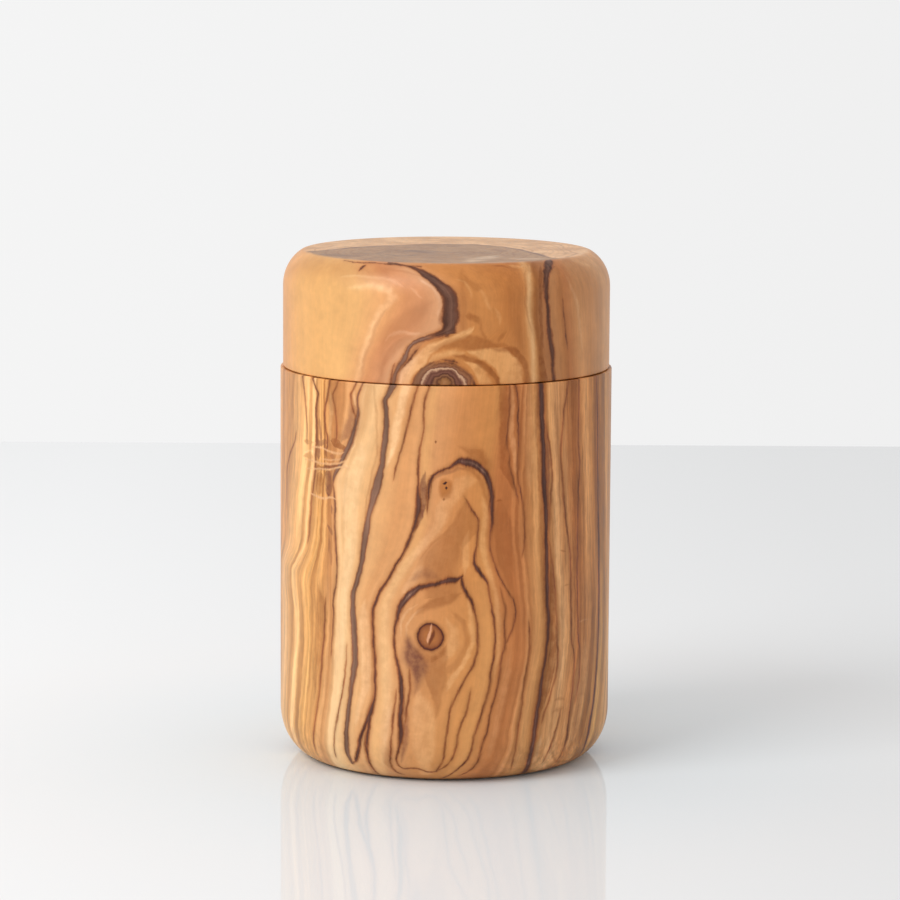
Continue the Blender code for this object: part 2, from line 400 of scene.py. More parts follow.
# Olive wood: pale honey sapwood and brown heartwood, with purple-brown veins where a ring has darkened.
# Turned, sanded fine and oiled, so it has a soft satin sheen and no tool marks. Places are pixels of the
# view, read one by one, with the width there in mm. A width of 0 is a pointed end. A patch of colour has its
# strength, the softness of its edge in mm, and its places. A detail has its colour before them.
bodyWood = {
    "low": -10.0,                      # mm: the lowest place of the unrolled piece
    "turn": -1,                        # the base curves away below the side
    "tintRow": 560,
    "tints": [
        (284, "#e6b47a"), (291, "#e8b06e"), (299, "#e8b070"), (312, "#d99e5a"), (322, "#dfa260"),
        (328, "#cc9058"), (335, "#da9f66"), (341, "#ecbe86"), (351, "#eec28a"), (360, "#eab67c"),
        (372, "#eab47a"), (382, "#e2a76e"), (396, "#dfa46c"), (406, "#e2aa6e"), (418, "#dca06a"),
        (440, "#d9985e"), (470, "#d69456"), (485, "#d49456"), (497, "#c6804a"), (512, "#c8804a"),
        (521, "#ca854f"), (536, "#d4985e"), (548, "#b47a44"), (556, "#dca269"), (566, "#d89d65"),
        (576, "#c4824a"), (587, "#cc8e55"), (596, "#c2874c"), (602, "#bd8649"), (608, "#cf9558")],
    # How pale (above 0.5) or brown (below) the narrow stripes are, read along one row and the other
    "stripeRows": (520, 660),
    "upperStripes": [
        (284, 0.45), (287, 0.46), (292, 0.5), (296, 0.52), (298, 0.9), (301, 0.9), (302.3, 0.33),
        (304.4, 0.3), (305.6, 0.85), (308, 0.8), (309.6, 0.3), (312, 0.42), (314.5, 0.45), (316, 0.72),
        (317.5, 0.4), (319, 0.75), (320.5, 0.68), (321.7, 0.22), (323, 0.5), (324.6, 0.74), (326.5, 0.66),
        (328.5, 0.42), (331.4, 0.42), (332.4, 0.78), (333.4, 0.6), (336.5, 0.7), (341, 0.54), (343, 0.46),
        (347, 0.55), (352, 0.56), (357, 0.52), (363, 0.5), (372, 0.6), (378, 0.5), (400, 0.5), (410, 0.56),
        (470, 0.5), (494, 0.5), (498, 0.42), (509, 0.44), (511.5, 0.58), (514, 0.62), (516, 0.34),
        (519, 0.4), (521, 0.58), (523, 0.5), (524.5, 0.3), (526, 0.44), (531, 0.44), (534, 0.6),
        (538, 0.64), (540.5, 0.34), (550, 0.4), (551.6, 0.57), (556, 0.61), (562, 0.64), (563.4, 0.54),
        (567, 0.62), (569, 0.46), (571.5, 0.44), (573.3, 0.51), (574.6, 0.3), (579, 0.3), (582, 0.42),
        (585, 0.55), (589, 0.61), (591.5, 0.46), (594, 0.5), (596, 0.3), (600, 0.42), (602.5, 0.53),
        (604.5, 0.36), (606.3, 0.68), (607.8, 0.56), (609, 0.5)],
    "lowerStripes": [
        (283, 0.56), (287, 0.68), (288.7, 0.62), (290, 0.36), (291.7, 0.34), (293, 0.6), (294.2, 0.95),
        (296.4, 0.95), (298, 0.48), (300, 0.42), (302, 0.36), (303.3, 0.58), (305, 0.64), (306.3, 0.48),
        (307.6, 0.84), (308.7, 0.86), (309.9, 0.36), (311.5, 0.36), (313, 0.56), (314.4, 0.36), (317, 0.44),
        (320, 0.44), (321.6, 0.3), (323, 0.56), (325, 0.8), (327, 0.76), (328.4, 0.42), (330.5, 0.54),
        (332.5, 0.42), (334, 0.55), (336.5, 0.64), (342, 0.62), (347.5, 0.55), (350, 0.58), (359, 0.54),
        (366, 0.5), (369, 0.62), (372, 0.4), (378, 0.62), (386, 0.66), (392, 0.6), (396, 0.5), (470, 0.5),
        (484, 0.56), (495, 0.56), (502, 0.6), (509, 0.6), (512, 0.46), (516, 0.45), (519.5, 0.5),
        (521.5, 0.36), (523.5, 0.42), (525.3, 0.78), (526.7, 0.7), (528.3, 0.38), (531, 0.52), (537, 0.5),
        (542, 0.46), (544.5, 0.36), (556, 0.4), (558, 0.6), (561, 0.63), (564, 0.55), (568, 0.48),
        (571, 0.4), (573.3, 0.56), (575.5, 0.4), (578, 0.34), (580, 0.56), (581.7, 0.44), (584.5, 0.63),
        (588.5, 0.6), (590.6, 0.32), (592.5, 0.34), (594.3, 0.53), (596, 0.34), (599.4, 0.63), (601, 0.5),
        (603, 0.38), (605, 0.58), (607.5, 0.56), (607.8, 0.5)],
    "plainness": [
        (-45, 0.9), (-26, 0.65), (-22, 0.2), (0, 0.15), (10, 0.22), (18, 0.55), (27, 1.0), (45, 1.1)],
    "ringStrength": [(-45, 0.6), (-30, 0.4), (-22, 0.12), (0, 0.08), (12, 0.16), (20, 0.4), (45, 0.7)],
    "flows": {
        "leftEdge": [
            (306, 395), (305.5, 430), (304, 465), (301.5, 490), (299, 520), (297, 545), (291, 559),
            (287.7, 570), (288, 585), (289.8, 605), (290, 635), (288.5, 665), (286.5, 700), (288, 728)],
        "paleStripe": [
            (315, 395), (314.5, 435), (312, 470), (309.5, 490), (307, 520), (304.5, 545), (298, 560),
            (293, 573), (294, 590), (296.5, 610), (297, 635), (294.5, 665), (292.5, 700), (293, 733)],
        "twinLines": [
            (322.5, 400), (322.5, 430), (323, 460), (320.8, 500), (319, 530), (315.5, 553), (310.5, 570),
            (308, 588), (309, 610), (309.5, 640), (307.5, 675), (304.5, 708), (305, 742)],
        "jog": [
            (329.5, 400), (329.5, 440), (328, 480), (328, 530), (326, 560), (325.5, 590), (327.5, 612),
            (327, 640), (324.5, 662), (321.5, 695), (318, 720), (318, 750)],
        "leftVein": [
            (361.5, 388), (357.9, 411), (350.8, 437), (341.4, 458), (335, 476), (334.5, 503), (335.5, 531),
            (337.4, 564), (335.5, 592), (334, 620), (332.5, 650), (330.5, 690), (326, 725), (327, 752)],
        "wideVein": [
            (391, 389), (385, 402), (386, 430), (382.5, 460), (377, 485), (370, 510), (366, 532),
            (361.5, 565), (354, 592), (353, 612), (354.6, 640), (354, 670), (349.5, 700), (346.5, 735),
            (348, 758)],
        "longVein": [
            (427, 390), (424, 415), (419.3, 454), (418, 485), (417, 516), (407, 545), (390, 575), (375, 603),
            (373.2, 622), (374.7, 660), (374.5, 695), (369.5, 716), (367.3, 745), (372, 766)],
        "archLine": [
            (508, 389), (503, 430), (496, 480), (492, 530), (499, 575), (505, 620), (505, 645), (498.5, 685),
            (488.5, 722), (479.5, 757), (470, 769)],
        "mainVein": [
            (542, 388), (542.6, 420), (544, 465), (546, 510), (546.5, 570), (548, 615), (547, 645),
            (541.5, 682), (536, 720), (530, 757), (528, 767)],
        "rightEdge": [
            (597, 389), (597.5, 450), (598.5, 530), (598.8, 600), (597, 660), (594, 695), (588, 733),
            (582, 751)],
    },
    "veinTones": [
        (0.02, "#a5683a", 0.0), (0.2, "#a5683a", 0.1), (0.32, "#9c6238", 0.3), (0.37, "#965c34", 0.58),
        (0.42, "#925a34", 0.82), (0.46, "#865032", 0.94), (0.49, "#74462f", 1.0), (0.52, "#643e2e", 1.0),
        (0.57, "#5c3c31", 1.0), (0.65, "#5f4239", 1.0), (0.73, "#745548", 1.0), (0.82, "#8f705e", 0.96)],
    "ragged": 0.3,                     # mm: how unevenly the veins' edges run
    "heartFade": (-6.0, 6.0),          # mm, across the heart's edge: it is soft inside the body
    "heartEdge": 0.0,                  # the strength of the dark line round the heart
    "footGain": (1.0, 1.1, 1.2),       # towards the foot the wood grows greyer
    # Veins drawn paler on the lit left side: partly their own greyer colour, partly painted light
    "paleLitVeins": {
        "wide": [
            (392, 388, 1.4), (388.5, 395, 1.2), (384.8, 402, 1.05), (386, 410, 1.2), (386.3, 420, 1.25),
            (386, 430, 1.25), (385.2, 440, 1.3), (383.5, 450, 1.25), (382.3, 460, 1.2), (380.4, 470, 1.4),
            (378.4, 480, 1.8), (375.7, 490, 1.75), (373, 500, 1.4), (370, 510, 1.2), (368.2, 520, 1.25),
            (366.5, 530, 1.5), (364.6, 540, 1.4), (363.4, 550, 1.3), (362.2, 560, 1.25), (360.2, 570, 1.15),
            (357.8, 580, 1.15), (354.5, 590, 1.2), (352.8, 600, 1.15), (352.9, 610, 1.3), (353.4, 620, 1.45),
            (354.5, 640, 1.4), (355, 655, 1.4), (354, 670, 1.3), (351.5, 685, 1.05), (349.5, 700, 1.0),
            (348, 715, 1.05), (346.3, 730, 1.2), (346.5, 742, 1.25), (348.5, 755, 1.1), (352, 763, 0.7),
            (356, 761, 0)],
        "left": [
            (361.3, 388, 0.4), (358.5, 395, 0.5), (357.8, 403, 0.5), (358, 412, 0.75), (356.5, 420, 0.9),
            (354.5, 430, 0.95), (352, 438, 1.05), (349, 445, 1.15), (345.5, 452, 1.2), (342.5, 459, 1.15),
            (339.5, 465, 1.1), (336.5, 471, 0.95), (334, 477, 0.8), (333, 485, 0.34), (334.5, 495, 0.36),
            (335, 505, 0.5), (335, 520, 0.42), (335.3, 535, 0.5), (336, 548, 0.42), (337, 560, 0.5),
            (337.5, 570, 0.3), (336, 582, 0.34), (334, 595, 0.34), (333.5, 610, 0.34), (333, 625, 0.34),
            (332.3, 640, 0.28), (331, 656, 0)],
    },
    "veins": {
        "slanting": [
            (417.3, 389, 0.3), (413.5, 400, 0.32), (411, 410, 0.34), (409, 420, 0.32), (406, 430, 0.34),
            (404, 440, 0.36), (401.5, 450, 0.34), (398.5, 460, 0.34), (395.5, 470, 0.28), (393.3, 479, 0)],
        "long": [
            (428, 390, 0.35), (424.6, 400, 0.34), (424, 412, 0.28), (423.5, 426, 0.28), (421.8, 440, 0.32),
            (419.3, 454, 0.36), (418, 470, 0.4), (417.8, 485, 0.55), (418.2, 494, 0.95), (418.5, 505, 1.2),
            (417, 516, 1.05), (414.5, 527, 0.85), (411.5, 535, 0.7), (407.3, 545, 0.6), (402, 555, 0.55),
            (396, 565, 0.55), (390, 575, 0.6), (384, 585, 0.65), (378.5, 595, 0.75), (375, 603, 0.8),
            (373, 610, 0.75), (373.2, 622, 0.65), (373.8, 640, 0.65), (374.7, 660, 0.65), (375.2, 680, 0.65),
            (374.5, 695, 0.75), (372.5, 705, 0.95), (369.5, 716, 1.1), (365, 726, 0.85), (361.5, 735, 0.9),
            (359.3, 745, 1.0), (357.5, 755, 0.95), (354.5, 763, 0)],
        "longFork": [
            (372, 706, 0), (369.5, 722, 0.85), (367.8, 735, 0.95), (367, 748, 0.8), (368.3, 758, 0.6),
            (371.5, 766, 0.5), (377, 772.5, 0.4)],
        "upperArch": [
            (427.5, 512, 0), (427.8, 500, 0.5), (428.5, 490, 0.7), (430, 482, 0.75), (433, 476, 0.7),
            (438, 472, 0.6), (444, 470, 0.55), (450, 467.5, 0.6), (455, 464, 0.9), (460, 461.2, 1.4),
            (466, 462, 1.6), (472, 463.4, 1.55), (478, 466.5, 1.5), (483, 471, 1.4), (487, 477, 1.3),
            (490, 485, 1.2), (491.5, 495, 1.05), (492.3, 507, 1.05), (492.3, 520, 0.9), (491, 530, 0.6),
            (490.3, 542, 0.4), (491.5, 552, 0.4), (494.5, 562, 0.45), (498.5, 573, 0.4), (503, 583, 0.4),
            (509, 592, 0.38), (513.5, 601, 0.42), (515, 612, 0.42), (514.5, 622, 0.38), (512, 630, 0.32),
            (507.5, 640, 0.28), (505, 646, 0)],
        "inner": [
            (466, 499, 0), (470, 507, 0.3), (475, 514, 0.4), (478, 520, 0.34), (478, 532, 0.34),
            (476.5, 545, 0.36), (474.8, 555, 0.6), (474.5, 562, 0.8), (477.5, 569, 0.9), (483, 577, 0.85),
            (487.5, 583, 0.55), (489, 592, 0.4), (491, 605, 0.4), (494, 620, 0.42), (495.3, 640, 0.44),
            (494, 655, 0.42), (491, 672, 0.45), (489, 690, 0.42), (485.5, 702, 0.42), (481, 715, 0.42),
            (477, 727, 0.42), (473.5, 740, 0.45), (470.5, 752, 0.45), (466, 761, 0.4), (459, 768, 0.38),
            (450, 774.5, 0.34)],
        "lowerArch": [
            (461.5, 577, 0.6), (456, 580, 1.1), (449, 580.5, 1.25), (443, 581.5, 1.2), (436, 584, 1.1),
            (428, 586, 1.0), (420, 587.5, 1.15), (414, 591, 1.35), (408, 596, 1.45), (402.5, 603, 1.35),
            (399, 611, 1.1), (396.5, 620, 0.8), (394.5, 630, 0.6), (393.8, 640, 0.55), (395, 652, 0.55),
            (397.5, 662, 0.7), (400, 673, 0.95), (401.6, 684, 1.15), (401.8, 695, 1.15), (400.7, 706, 1.0),
            (400.2, 720, 1.05), (400.8, 732, 1.1), (400.5, 742, 0.85), (398, 752, 0.5), (396.5, 760, 0.4),
            (399, 766, 0.38), (404, 768.5, 0.38), (414, 768, 0.36), (421, 770, 0.36), (430, 772, 0.36),
            (436, 771.5, 0.34), (441, 765, 0.34), (444, 752, 0.32), (446.5, 738, 0.32), (448, 725, 0.32),
            (450, 712, 0.32), (454, 700, 0.32), (460, 688, 0.34), (466.5, 677, 0.34), (472.5, 667, 0.38),
            (476, 656, 0.38), (477.5, 642, 0.38), (477.3, 628, 0.38), (475.5, 615, 0.42), (472.5, 604, 0.55),
            (468, 595, 0.75), (463.5, 587, 0.8), (461.5, 577, 0.6)],
        "shortLow": [
            (470.5, 691, 0), (468, 703, 0.3), (465.5, 713, 0.36), (461, 724, 0.36), (458, 735, 0.32),
            (456, 746, 0.32), (452, 757, 0.32), (446, 766, 0.3), (438, 770.5, 0)],
        "outerLow": [
            (500.5, 588, 0), (503, 600, 0.28), (505.2, 612, 0.28), (504.8, 625, 0.34), (505, 640, 0.38),
            (504.5, 650, 0.42), (501.5, 660, 0.38), (500, 672, 0.4), (498, 685, 0.4), (494.5, 698, 0.38),
            (491.5, 710, 0.42), (488.5, 722, 0.4), (485.8, 735, 0.48), (482, 745, 0.42), (480, 755, 0.38),
            (476, 764, 0.36), (469, 771, 0.32), (460, 775.5, 0)],
        "bandBorder": [
            (509.8, 390, 0.28), (508.8, 415, 0.34), (506.8, 437, 0.34), (508.8, 455, 0.28), (511, 470, 0.28),
            (513.5, 482, 0.34), (516, 492, 0.34), (518.5, 503, 0)],
        "besideBand": [
            (516.3, 390, 0.38), (517.8, 404, 0.42), (518.5, 425, 0.55), (518.4, 445, 0.55),
            (517.6, 462, 0.38), (518, 478, 0.32), (520.5, 492, 0.32), (523.8, 508, 0.28),
            (524.6, 530, 0.26), (524, 548, 0.24), (522, 557, 0)],
        "main": [
            (541.2, 388, 1.4), (541.4, 404, 1.4), (542.2, 420, 1.4), (542.8, 435, 1.35), (543.4, 450, 1.3),
            (543.8, 465, 1.3), (544, 480, 1.3), (544.8, 495, 1.3), (545.8, 510, 1.3), (546.3, 525, 1.15),
            (546.2, 540, 1.05), (546.5, 555, 1.1), (546.7, 570, 1.15), (546.8, 585, 1.15), (547.1, 600, 1.15),
            (548, 612, 1.15), (548.2, 625, 1.0), (547.5, 640, 0.85), (546, 655, 0.75), (544, 668, 0.85),
            (541.5, 682, 1.05), (539.5, 695, 1.1), (538, 707, 1.1), (536, 720, 1.25), (534.5, 733, 1.25),
            (532.5, 745, 1.2), (530, 757, 1.3), (527.5, 767, 1.4)],
        "mainBorder": [
            (544, 420, 0), (547, 432, 0.28), (549.5, 445, 0.34), (551, 460, 0.28), (552, 475, 0.34),
            (551.5, 490, 0.28), (550, 505, 0.28), (549, 520, 0.24), (548.5, 535, 0)],
        "oliveBorder": [
            (550.3, 548, 0), (551.5, 560, 0.34), (553.5, 575, 0.38), (555, 590, 0.34), (556, 605, 0.34),
            (556.5, 620, 0.34), (557, 640, 0.38), (557.8, 652, 0.34), (557, 665, 0.34), (555, 678, 0.34),
            (552, 690, 0.28), (548.5, 702, 0.28), (544.5, 712, 0.28), (541.5, 722, 0)],
        "rightThin": [
            (567.3, 389, 0.3), (565, 405, 0.34), (563, 420, 0.28), (561.5, 440, 0.34), (560.8, 455, 0.34),
            (561.5, 470, 0.38), (562.8, 485, 0.34), (564, 500, 0.4), (565.3, 515, 0.36), (567, 530, 0.34),
            (569, 545, 0.4), (570.3, 560, 0.4), (571, 580, 0.4), (571, 610, 0.4), (571.8, 640, 0.28),
            (574.3, 660, 0.34), (573, 680, 0.4), (571.5, 695, 0.45), (570, 710, 0.4), (568, 725, 0.4),
            (566, 740, 0.45), (562, 752, 0.3)],
        "rightPair": [
            (578.8, 388, 0.4), (578.8, 410, 0.4), (578.3, 430, 0.4), (579, 450, 0.45), (580, 465, 0.4),
            (578.5, 485, 0.4), (578, 500, 0.4), (578, 520, 0.5), (577.5, 540, 0.6), (577.3, 560, 0.6),
            (577.5, 580, 0.5), (577.5, 600, 0.5), (577.8, 620, 0.5), (578.5, 640, 0.5), (580, 660, 0.38),
            (579, 675, 0.38), (577, 690, 0.28), (575, 703, 0)],
        "rightDark": [
            (596.8, 389, 0.5), (597.5, 410, 0.7), (597.5, 430, 0.7), (597.3, 450, 0.7), (597.8, 470, 0.8),
            (598, 500, 0.8), (598.5, 530, 0.8), (598.7, 560, 0.9), (598.8, 590, 0.9), (598.5, 620, 0.9),
            (598, 640, 0.8), (597, 660, 0.7), (595.5, 680, 0.8), (594, 695, 0.9), (592, 710, 1.0),
            (589.5, 725, 1.2), (587, 738, 1.0), (583, 750, 0.7)],
        "hook": [(354, 388, 0.34), (351, 395, 0.42), (351.3, 404, 0.38), (353.5, 411, 0.28), (356, 417, 0)],
        "leftDark": [
            (316, 388, 0.45), (318, 394, 0.5), (317, 402, 0.45), (316.3, 412, 0.5), (316.5, 422, 0.6),
            (317, 435, 0.6), (316.8, 445, 0.5), (315.5, 455, 0.38), (315.3, 470, 0.34), (313.5, 485, 0.32),
            (311.5, 500, 0.28), (310.5, 515, 0.28), (309.8, 530, 0.3), (308, 542, 0)],
        "leftPair": [
            (328.5, 390, 0.4), (327, 400, 0.55), (325.5, 408, 0.45), (325, 418, 0.45), (325.5, 428, 0.5),
            (327, 436, 0.45), (327.5, 445, 0.45), (326, 452, 0.38), (327, 460, 0)],
        "leftSoft": [
            (336, 387, 0.28), (333, 396, 0.34), (335, 408, 0.28), (336.3, 420, 0.32), (336.5, 432, 0.36),
            (335.5, 443, 0)],
        "edgeThin": [(304, 388, 0.34), (305, 398, 0.34), (306, 410, 0.3), (307, 425, 0.22), (307.2, 441, 0)],
        "edgeFork": [
            (296, 432, 0), (294.5, 442, 0.26), (291.5, 450, 0.32), (288.5, 460, 0.28), (287, 475, 0.3),
            (287, 490, 0.26), (287, 506, 0)],
        "lowLeft": [
            (325.5, 598, 0), (325, 615, 0.34), (324.5, 630, 0.38), (323.5, 645, 0.38), (322, 660, 0.38),
            (320.5, 680, 0.34), (319, 695, 0.28), (317, 710, 0.34), (314.5, 725, 0.34), (313.5, 740, 0.28),
            (316, 751, 0)],
        "lowPale": [
            (346.5, 645, 0), (345.7, 665, 0.22), (343.5, 685, 0.26), (340, 703, 0.28), (337, 718, 0.32),
            (335, 732, 0.28), (334, 745, 0.26), (336, 757, 0)],
        "besideArch": [
            (396.5, 690, 0), (394.5, 705, 0.28), (393, 720, 0.34), (391.5, 735, 0.28), (390.5, 750, 0.38),
            (391, 765, 0.38), (396, 772, 0.36), (404, 774.5, 0)],
        "insideArch": [
            (410, 670, 0), (410.5, 685, 0.36), (409, 697, 0.38), (406.5, 708, 0.34), (405, 722, 0)],
        "paleTwin": [
            (529, 622, 0), (530, 645, 0.26), (528, 662, 0.28), (524.5, 680, 0.28), (522.5, 700, 0.28),
            (519.5, 720, 0.28), (517, 740, 0.28), (513, 760, 0.26), (511, 769, 0)],
        "rightLow": [
            (560, 712, 0), (558, 722, 0.28), (555, 733, 0.34), (552, 743, 0.38), (547, 754, 0.34),
            (542, 763, 0)],
    },
    "shades": {
        "darkBand": (0.66, 0.7, [
            (504.5, 389, 1.7), (504, 410, 1.8), (503.5, 430, 1.6), (503.5, 450, 1.9), (505.5, 468, 2.1),
            (509.5, 480, 1.3), (514, 492, 0)]),
        "outsideArch": (0.42, 0.8, [
            (500, 498, 0), (500, 507, 1.8), (502, 520, 3.4), (503.5, 540, 3.8), (505, 555, 3.5),
            (507, 570, 2.5), (510, 584, 1.2), (512, 594, 0)]),
        "archPoint": (0.8, 0.7, [(495.5, 502, 0), (499.5, 500.5, 0.6), (503, 502, 0)]),
        "wedgeTop": (0.42, 0.7, [
            (466.5, 498, 0), (466, 508, 2.2), (466, 518, 4.0), (465, 528, 4.8), (463.5, 538, 3.0),
            (461, 550, 0)]),
        "wedgeFoot": (0.52, 1.6, [
            (459, 522, 0), (453, 534, 2.6), (447, 545, 4.4), (441, 556, 6.0), (439, 566, 6.4),
            (440, 577, 6.0)]),
        "wedgeEdge": (0.5, 0.8, [
            (466, 500, 0), (461, 510, 0.7), (456.5, 519, 0.9), (451, 528, 1.2), (444, 535, 1.1),
            (436, 541, 0.7), (428, 550, 0.5), (420, 560, 0)]),
        "wedgeRight": (0.4, 0.7, [
            (466, 502, 0), (472, 514, 1.0), (474.5, 526, 1.0), (470, 536, 0.9), (463, 545, 0.6),
            (459.5, 556, 0.5), (459, 566, 0)]),
        "archBrown": (0.7, 2.0, [
            (462, 448, 0), (470, 452, 1.2), (479, 455, 2.6), (486, 466, 2.0), (490, 478, 0)]),
        "topPale": (0.34, 1.8, [
            (368, 388, 2.0), (366, 400, 2.4), (364, 415, 2.6), (361, 428, 2.0), (357, 442, 0)]),
        "topPaleLine": (0.4, 0.5, [
            (375, 388, 0.4), (374.6, 400, 0.5), (376.6, 415, 0.5), (377.6, 440, 0.5), (375.6, 460, 0.5),
            (371.5, 480, 0.5), (367, 500, 0.4), (364, 520, 0)]),
        "archUnder": (0.5, 1.0, [
            (462, 468, 0), (470, 470, 1.0), (478, 476, 1.0), (484, 486, 0.8), (487, 500, 0)]),
        "knotTop": (0.65, 1.2, [
            (460, 594, 0), (450, 598, 2.2), (440, 601, 2.2), (428, 606, 1.4), (416, 614, 0)]),
        "knotRight": (0.4, 0.8, [
            (452, 612, 0), (464, 622, 1.0), (467, 636, 1.1), (464, 650, 1.1), (457, 662, 1.1),
            (450, 670, 1.2), (440, 675, 1.4), (428, 676, 0)]),
        "knotFoot": (0.8, 1.6, [
            (416, 650, 0), (422, 655, 1.6), (430, 658, 2.0), (439, 655, 1.6), (447, 646, 0)]),
        "notch": (0.5, 0.7, [
            (437, 675, 4.4), (437, 685, 3.4), (437, 697, 1.7), (436.5, 708, 0.8), (436, 718, 0)]),
        "legFoot": (0.5, 1.0, [(391, 742, 0), (389, 752, 1.8), (389, 762, 2.0), (395, 771, 0)]),
        "olive": (0.95, 0.5, [
            (549, 538, 0), (550, 560, 0.9), (551.4, 580, 1.3), (552.2, 600, 1.6), (552.7, 620, 1.6),
            (553, 640, 1.8), (552.7, 655, 2.3), (551, 668, 2.3), (548, 680, 2.2), (545.5, 692, 1.9),
            (542.5, 703, 1.4), (539.5, 714, 0.9), (537, 726, 0)]),
        "besideMain": (0.65, 0.7, [
            (537.3, 388, 1.0), (537.6, 410, 1.0), (538.5, 440, 0.9), (540, 470, 0.8), (541.5, 500, 0.7),
            (542.5, 530, 0.7), (543, 560, 0.6), (543.5, 590, 0.5), (544.5, 620, 0)]),
        "rightBrown": (0.6, 0.8, [
            (572, 470, 0), (573.5, 490, 1.0), (574, 515, 1.3), (574.3, 540, 1.4), (574.2, 580, 1.4),
            (574.5, 605, 1.6), (575.2, 622, 0)]),
        "rightTop": (0.45, 0.8, [
            (576.5, 388, 0.8), (576.5, 420, 0.9), (577, 450, 1.2), (578, 480, 0.8), (578, 510, 0)]),
        "lowBrown": (0.6, 0.9, [
            (318, 585, 0), (321, 598, 1.8), (319.5, 615, 2.4), (319, 635, 2.6), (318, 655, 2.4),
            (316, 675, 1.6), (314.5, 695, 0)]),
        "flameTop": (1.0, 0.4, [
            (331, 440.3, 0), (333.5, 441.8, 1.4), (338, 444, 1.8), (342, 447, 1.2), (344, 450, 0)]),
        "flameLeft": (0.7, 0.4, [(304, 440.6, 0), (306, 441.3, 0.8), (310, 442.6, 0.9), (313.5, 443, 0)]),
        "flameLow": (0.6, 0.4, [(304, 455.8, 0), (307, 455.5, 0.8), (311, 456.8, 0.9), (314, 457.8, 0)]),
        "flameBar": (1.0, 0.4, [
            (313.6, 466.3, 0), (316, 466.4, 0.9), (325, 466.8, 0.9), (334, 466.6, 0.9), (340, 464.6, 0)]),
        "flameBack": (0.8, 0.5, [
            (319, 470, 0), (319, 473, 1.7), (319, 480, 2.0), (318.7, 489, 2.0), (318.5, 496, 0)]),
        "flameEdge": (0.5, 0.4, [(312.5, 477, 0), (312.5, 482, 1.2), (312, 490, 1.2), (312, 494, 0)]),
        "dashHigh": (0.6, 0.4, [(561, 550.5, 0), (564, 550, 0.34), (567, 550.5, 0)]),
        "dashLow": (0.7, 0.4, [(564, 585.5, 0), (566.5, 585, 0.4), (569, 585.5, 0)]),
        "wiggleHigh": (0.5, 0.6, [(554, 702, 0), (558, 699, 0.5), (563, 699, 0.6), (567, 702, 0)]),
        "wiggleLow": (0.5, 0.6, [(552, 714, 0), (556, 710, 0.5), (561, 709, 0.7), (565, 706, 0)]),
    },
    "stains": {
        "legFill": (0.8, 0.5, [
            (424, 472, 0), (423, 484, 1.1), (422.6, 494, 1.9), (421.8, 503, 2.0), (420.3, 512, 1.6),
            (418, 521, 1.0), (415, 530, 0)]),
        "knotCloud": (0.8, 2.2, [
            (408, 636, 0), (410, 645, 2.0), (413, 654, 3.6), (416.5, 661, 4.4), (418.5, 668, 3.8),
            (418.5, 676, 2.4), (417.5, 684, 1.2), (416, 692, 0)]),
        "knotCore": (0.6, 1.2, [(411, 650, 0), (415, 658, 1.6), (418.5, 667, 1.8), (418.5, 677, 0)]),
        "wedgeMauve": (0.36, 1.4, [
            (410, 580, 0), (416, 576, 1.4), (424, 573, 2.0), (432, 574, 1.6), (440, 577, 0)]),
        "legShade": (0.6, 1.0, [
            (404, 698, 0), (405.5, 715, 0.9), (405.5, 730, 1.3), (404.5, 742, 1.3), (403, 752, 0.8),
            (402, 762, 0)]),
        "archMauve": (0.42, 0.6, [
            (431, 484, 0), (436, 477, 0.7), (443, 474, 0.8), (451, 472, 0.7), (458, 468, 0.6),
            (466, 467, 0)]),
        "flameMain": (0.75, 0.45, [
            (328.4, 469.5, 0), (328.4, 472, 1.4), (328.6, 480, 1.7), (328.4, 489, 1.7), (328, 497, 0)]),
        "flameDeep": (0.5, 0.5, [(321, 466.2, 0), (328, 466.6, 0.9), (334, 466, 0.9), (338.5, 464, 0)]),
        "flameMiddle": (0.6, 0.4, [
            (314.6, 441.6, 0), (317, 442, 1.2), (322, 442.2, 1.2), (326, 442.2, 1.0), (328, 443, 0)]),
        "flameUp": (0.6, 0.4, [(318, 444, 0), (317.8, 447, 1.1), (317.8, 454, 1.2), (318, 458.5, 0)]),
        "flameUpRight": (0.5, 0.4, [
            (324.6, 443, 0), (324.8, 446, 0.8), (325.6, 452, 0.9), (327.5, 457.5, 0)]),
        "flameUpFar": (0.35, 0.4, [(331, 454.5, 0), (333, 457, 0.9), (335, 461, 0)]),
        "besideLeft": (0.4, 0.6, [
            (359.5, 410, 0), (358, 422, 0.6), (355.5, 434, 0.8), (352.5, 442, 0.8), (348, 452, 0.8),
            (344, 461, 0)]),
        "leftTop": (0.5, 1.4, [
            (352, 400, 0), (352.5, 412, 1.8), (350, 424, 2.4), (346, 434, 2.2), (341, 442, 0)]),
        "leftMiddle": (0.6, 0.5, [(319.5, 418, 0), (320, 426, 0.8), (320.5, 436, 0.8), (320.5, 442, 0)]),
        "lowStep": (0.36, 0.5, [(329.5, 536, 0), (329.4, 545, 0.6), (329.8, 556, 0.6), (330, 565, 0)]),
        "blockHigh": (0.5, 0.4, [(331.5, 505, 0), (331.5, 509, 0.7), (331.5, 515, 0)]),
        "blockLow": (0.5, 0.4, [(327, 523, 0), (329, 527, 0.7), (332, 533, 0.6), (333, 536, 0)]),
        "mainFill": (0.62, 0.5, [
            (545.3, 426, 0), (546.6, 440, 0.9), (547.6, 455, 1.1), (548, 470, 1.2), (548, 485, 1.0),
            (547.8, 500, 0.7), (547.6, 515, 0.4), (547.5, 530, 0)]),
    },
    "lights": {
        "footRight": (0.5, 1.8, [
            (585, 640, 0), (583, 662, 3.6), (579, 690, 5.2), (574.5, 715, 5.2), (570, 735, 4.2),
            (566, 750, 0)]),
        "flameSix": (0.6, 0.5, [(305, 452, 0), (309, 452, 0.34), (314, 452, 0)]),
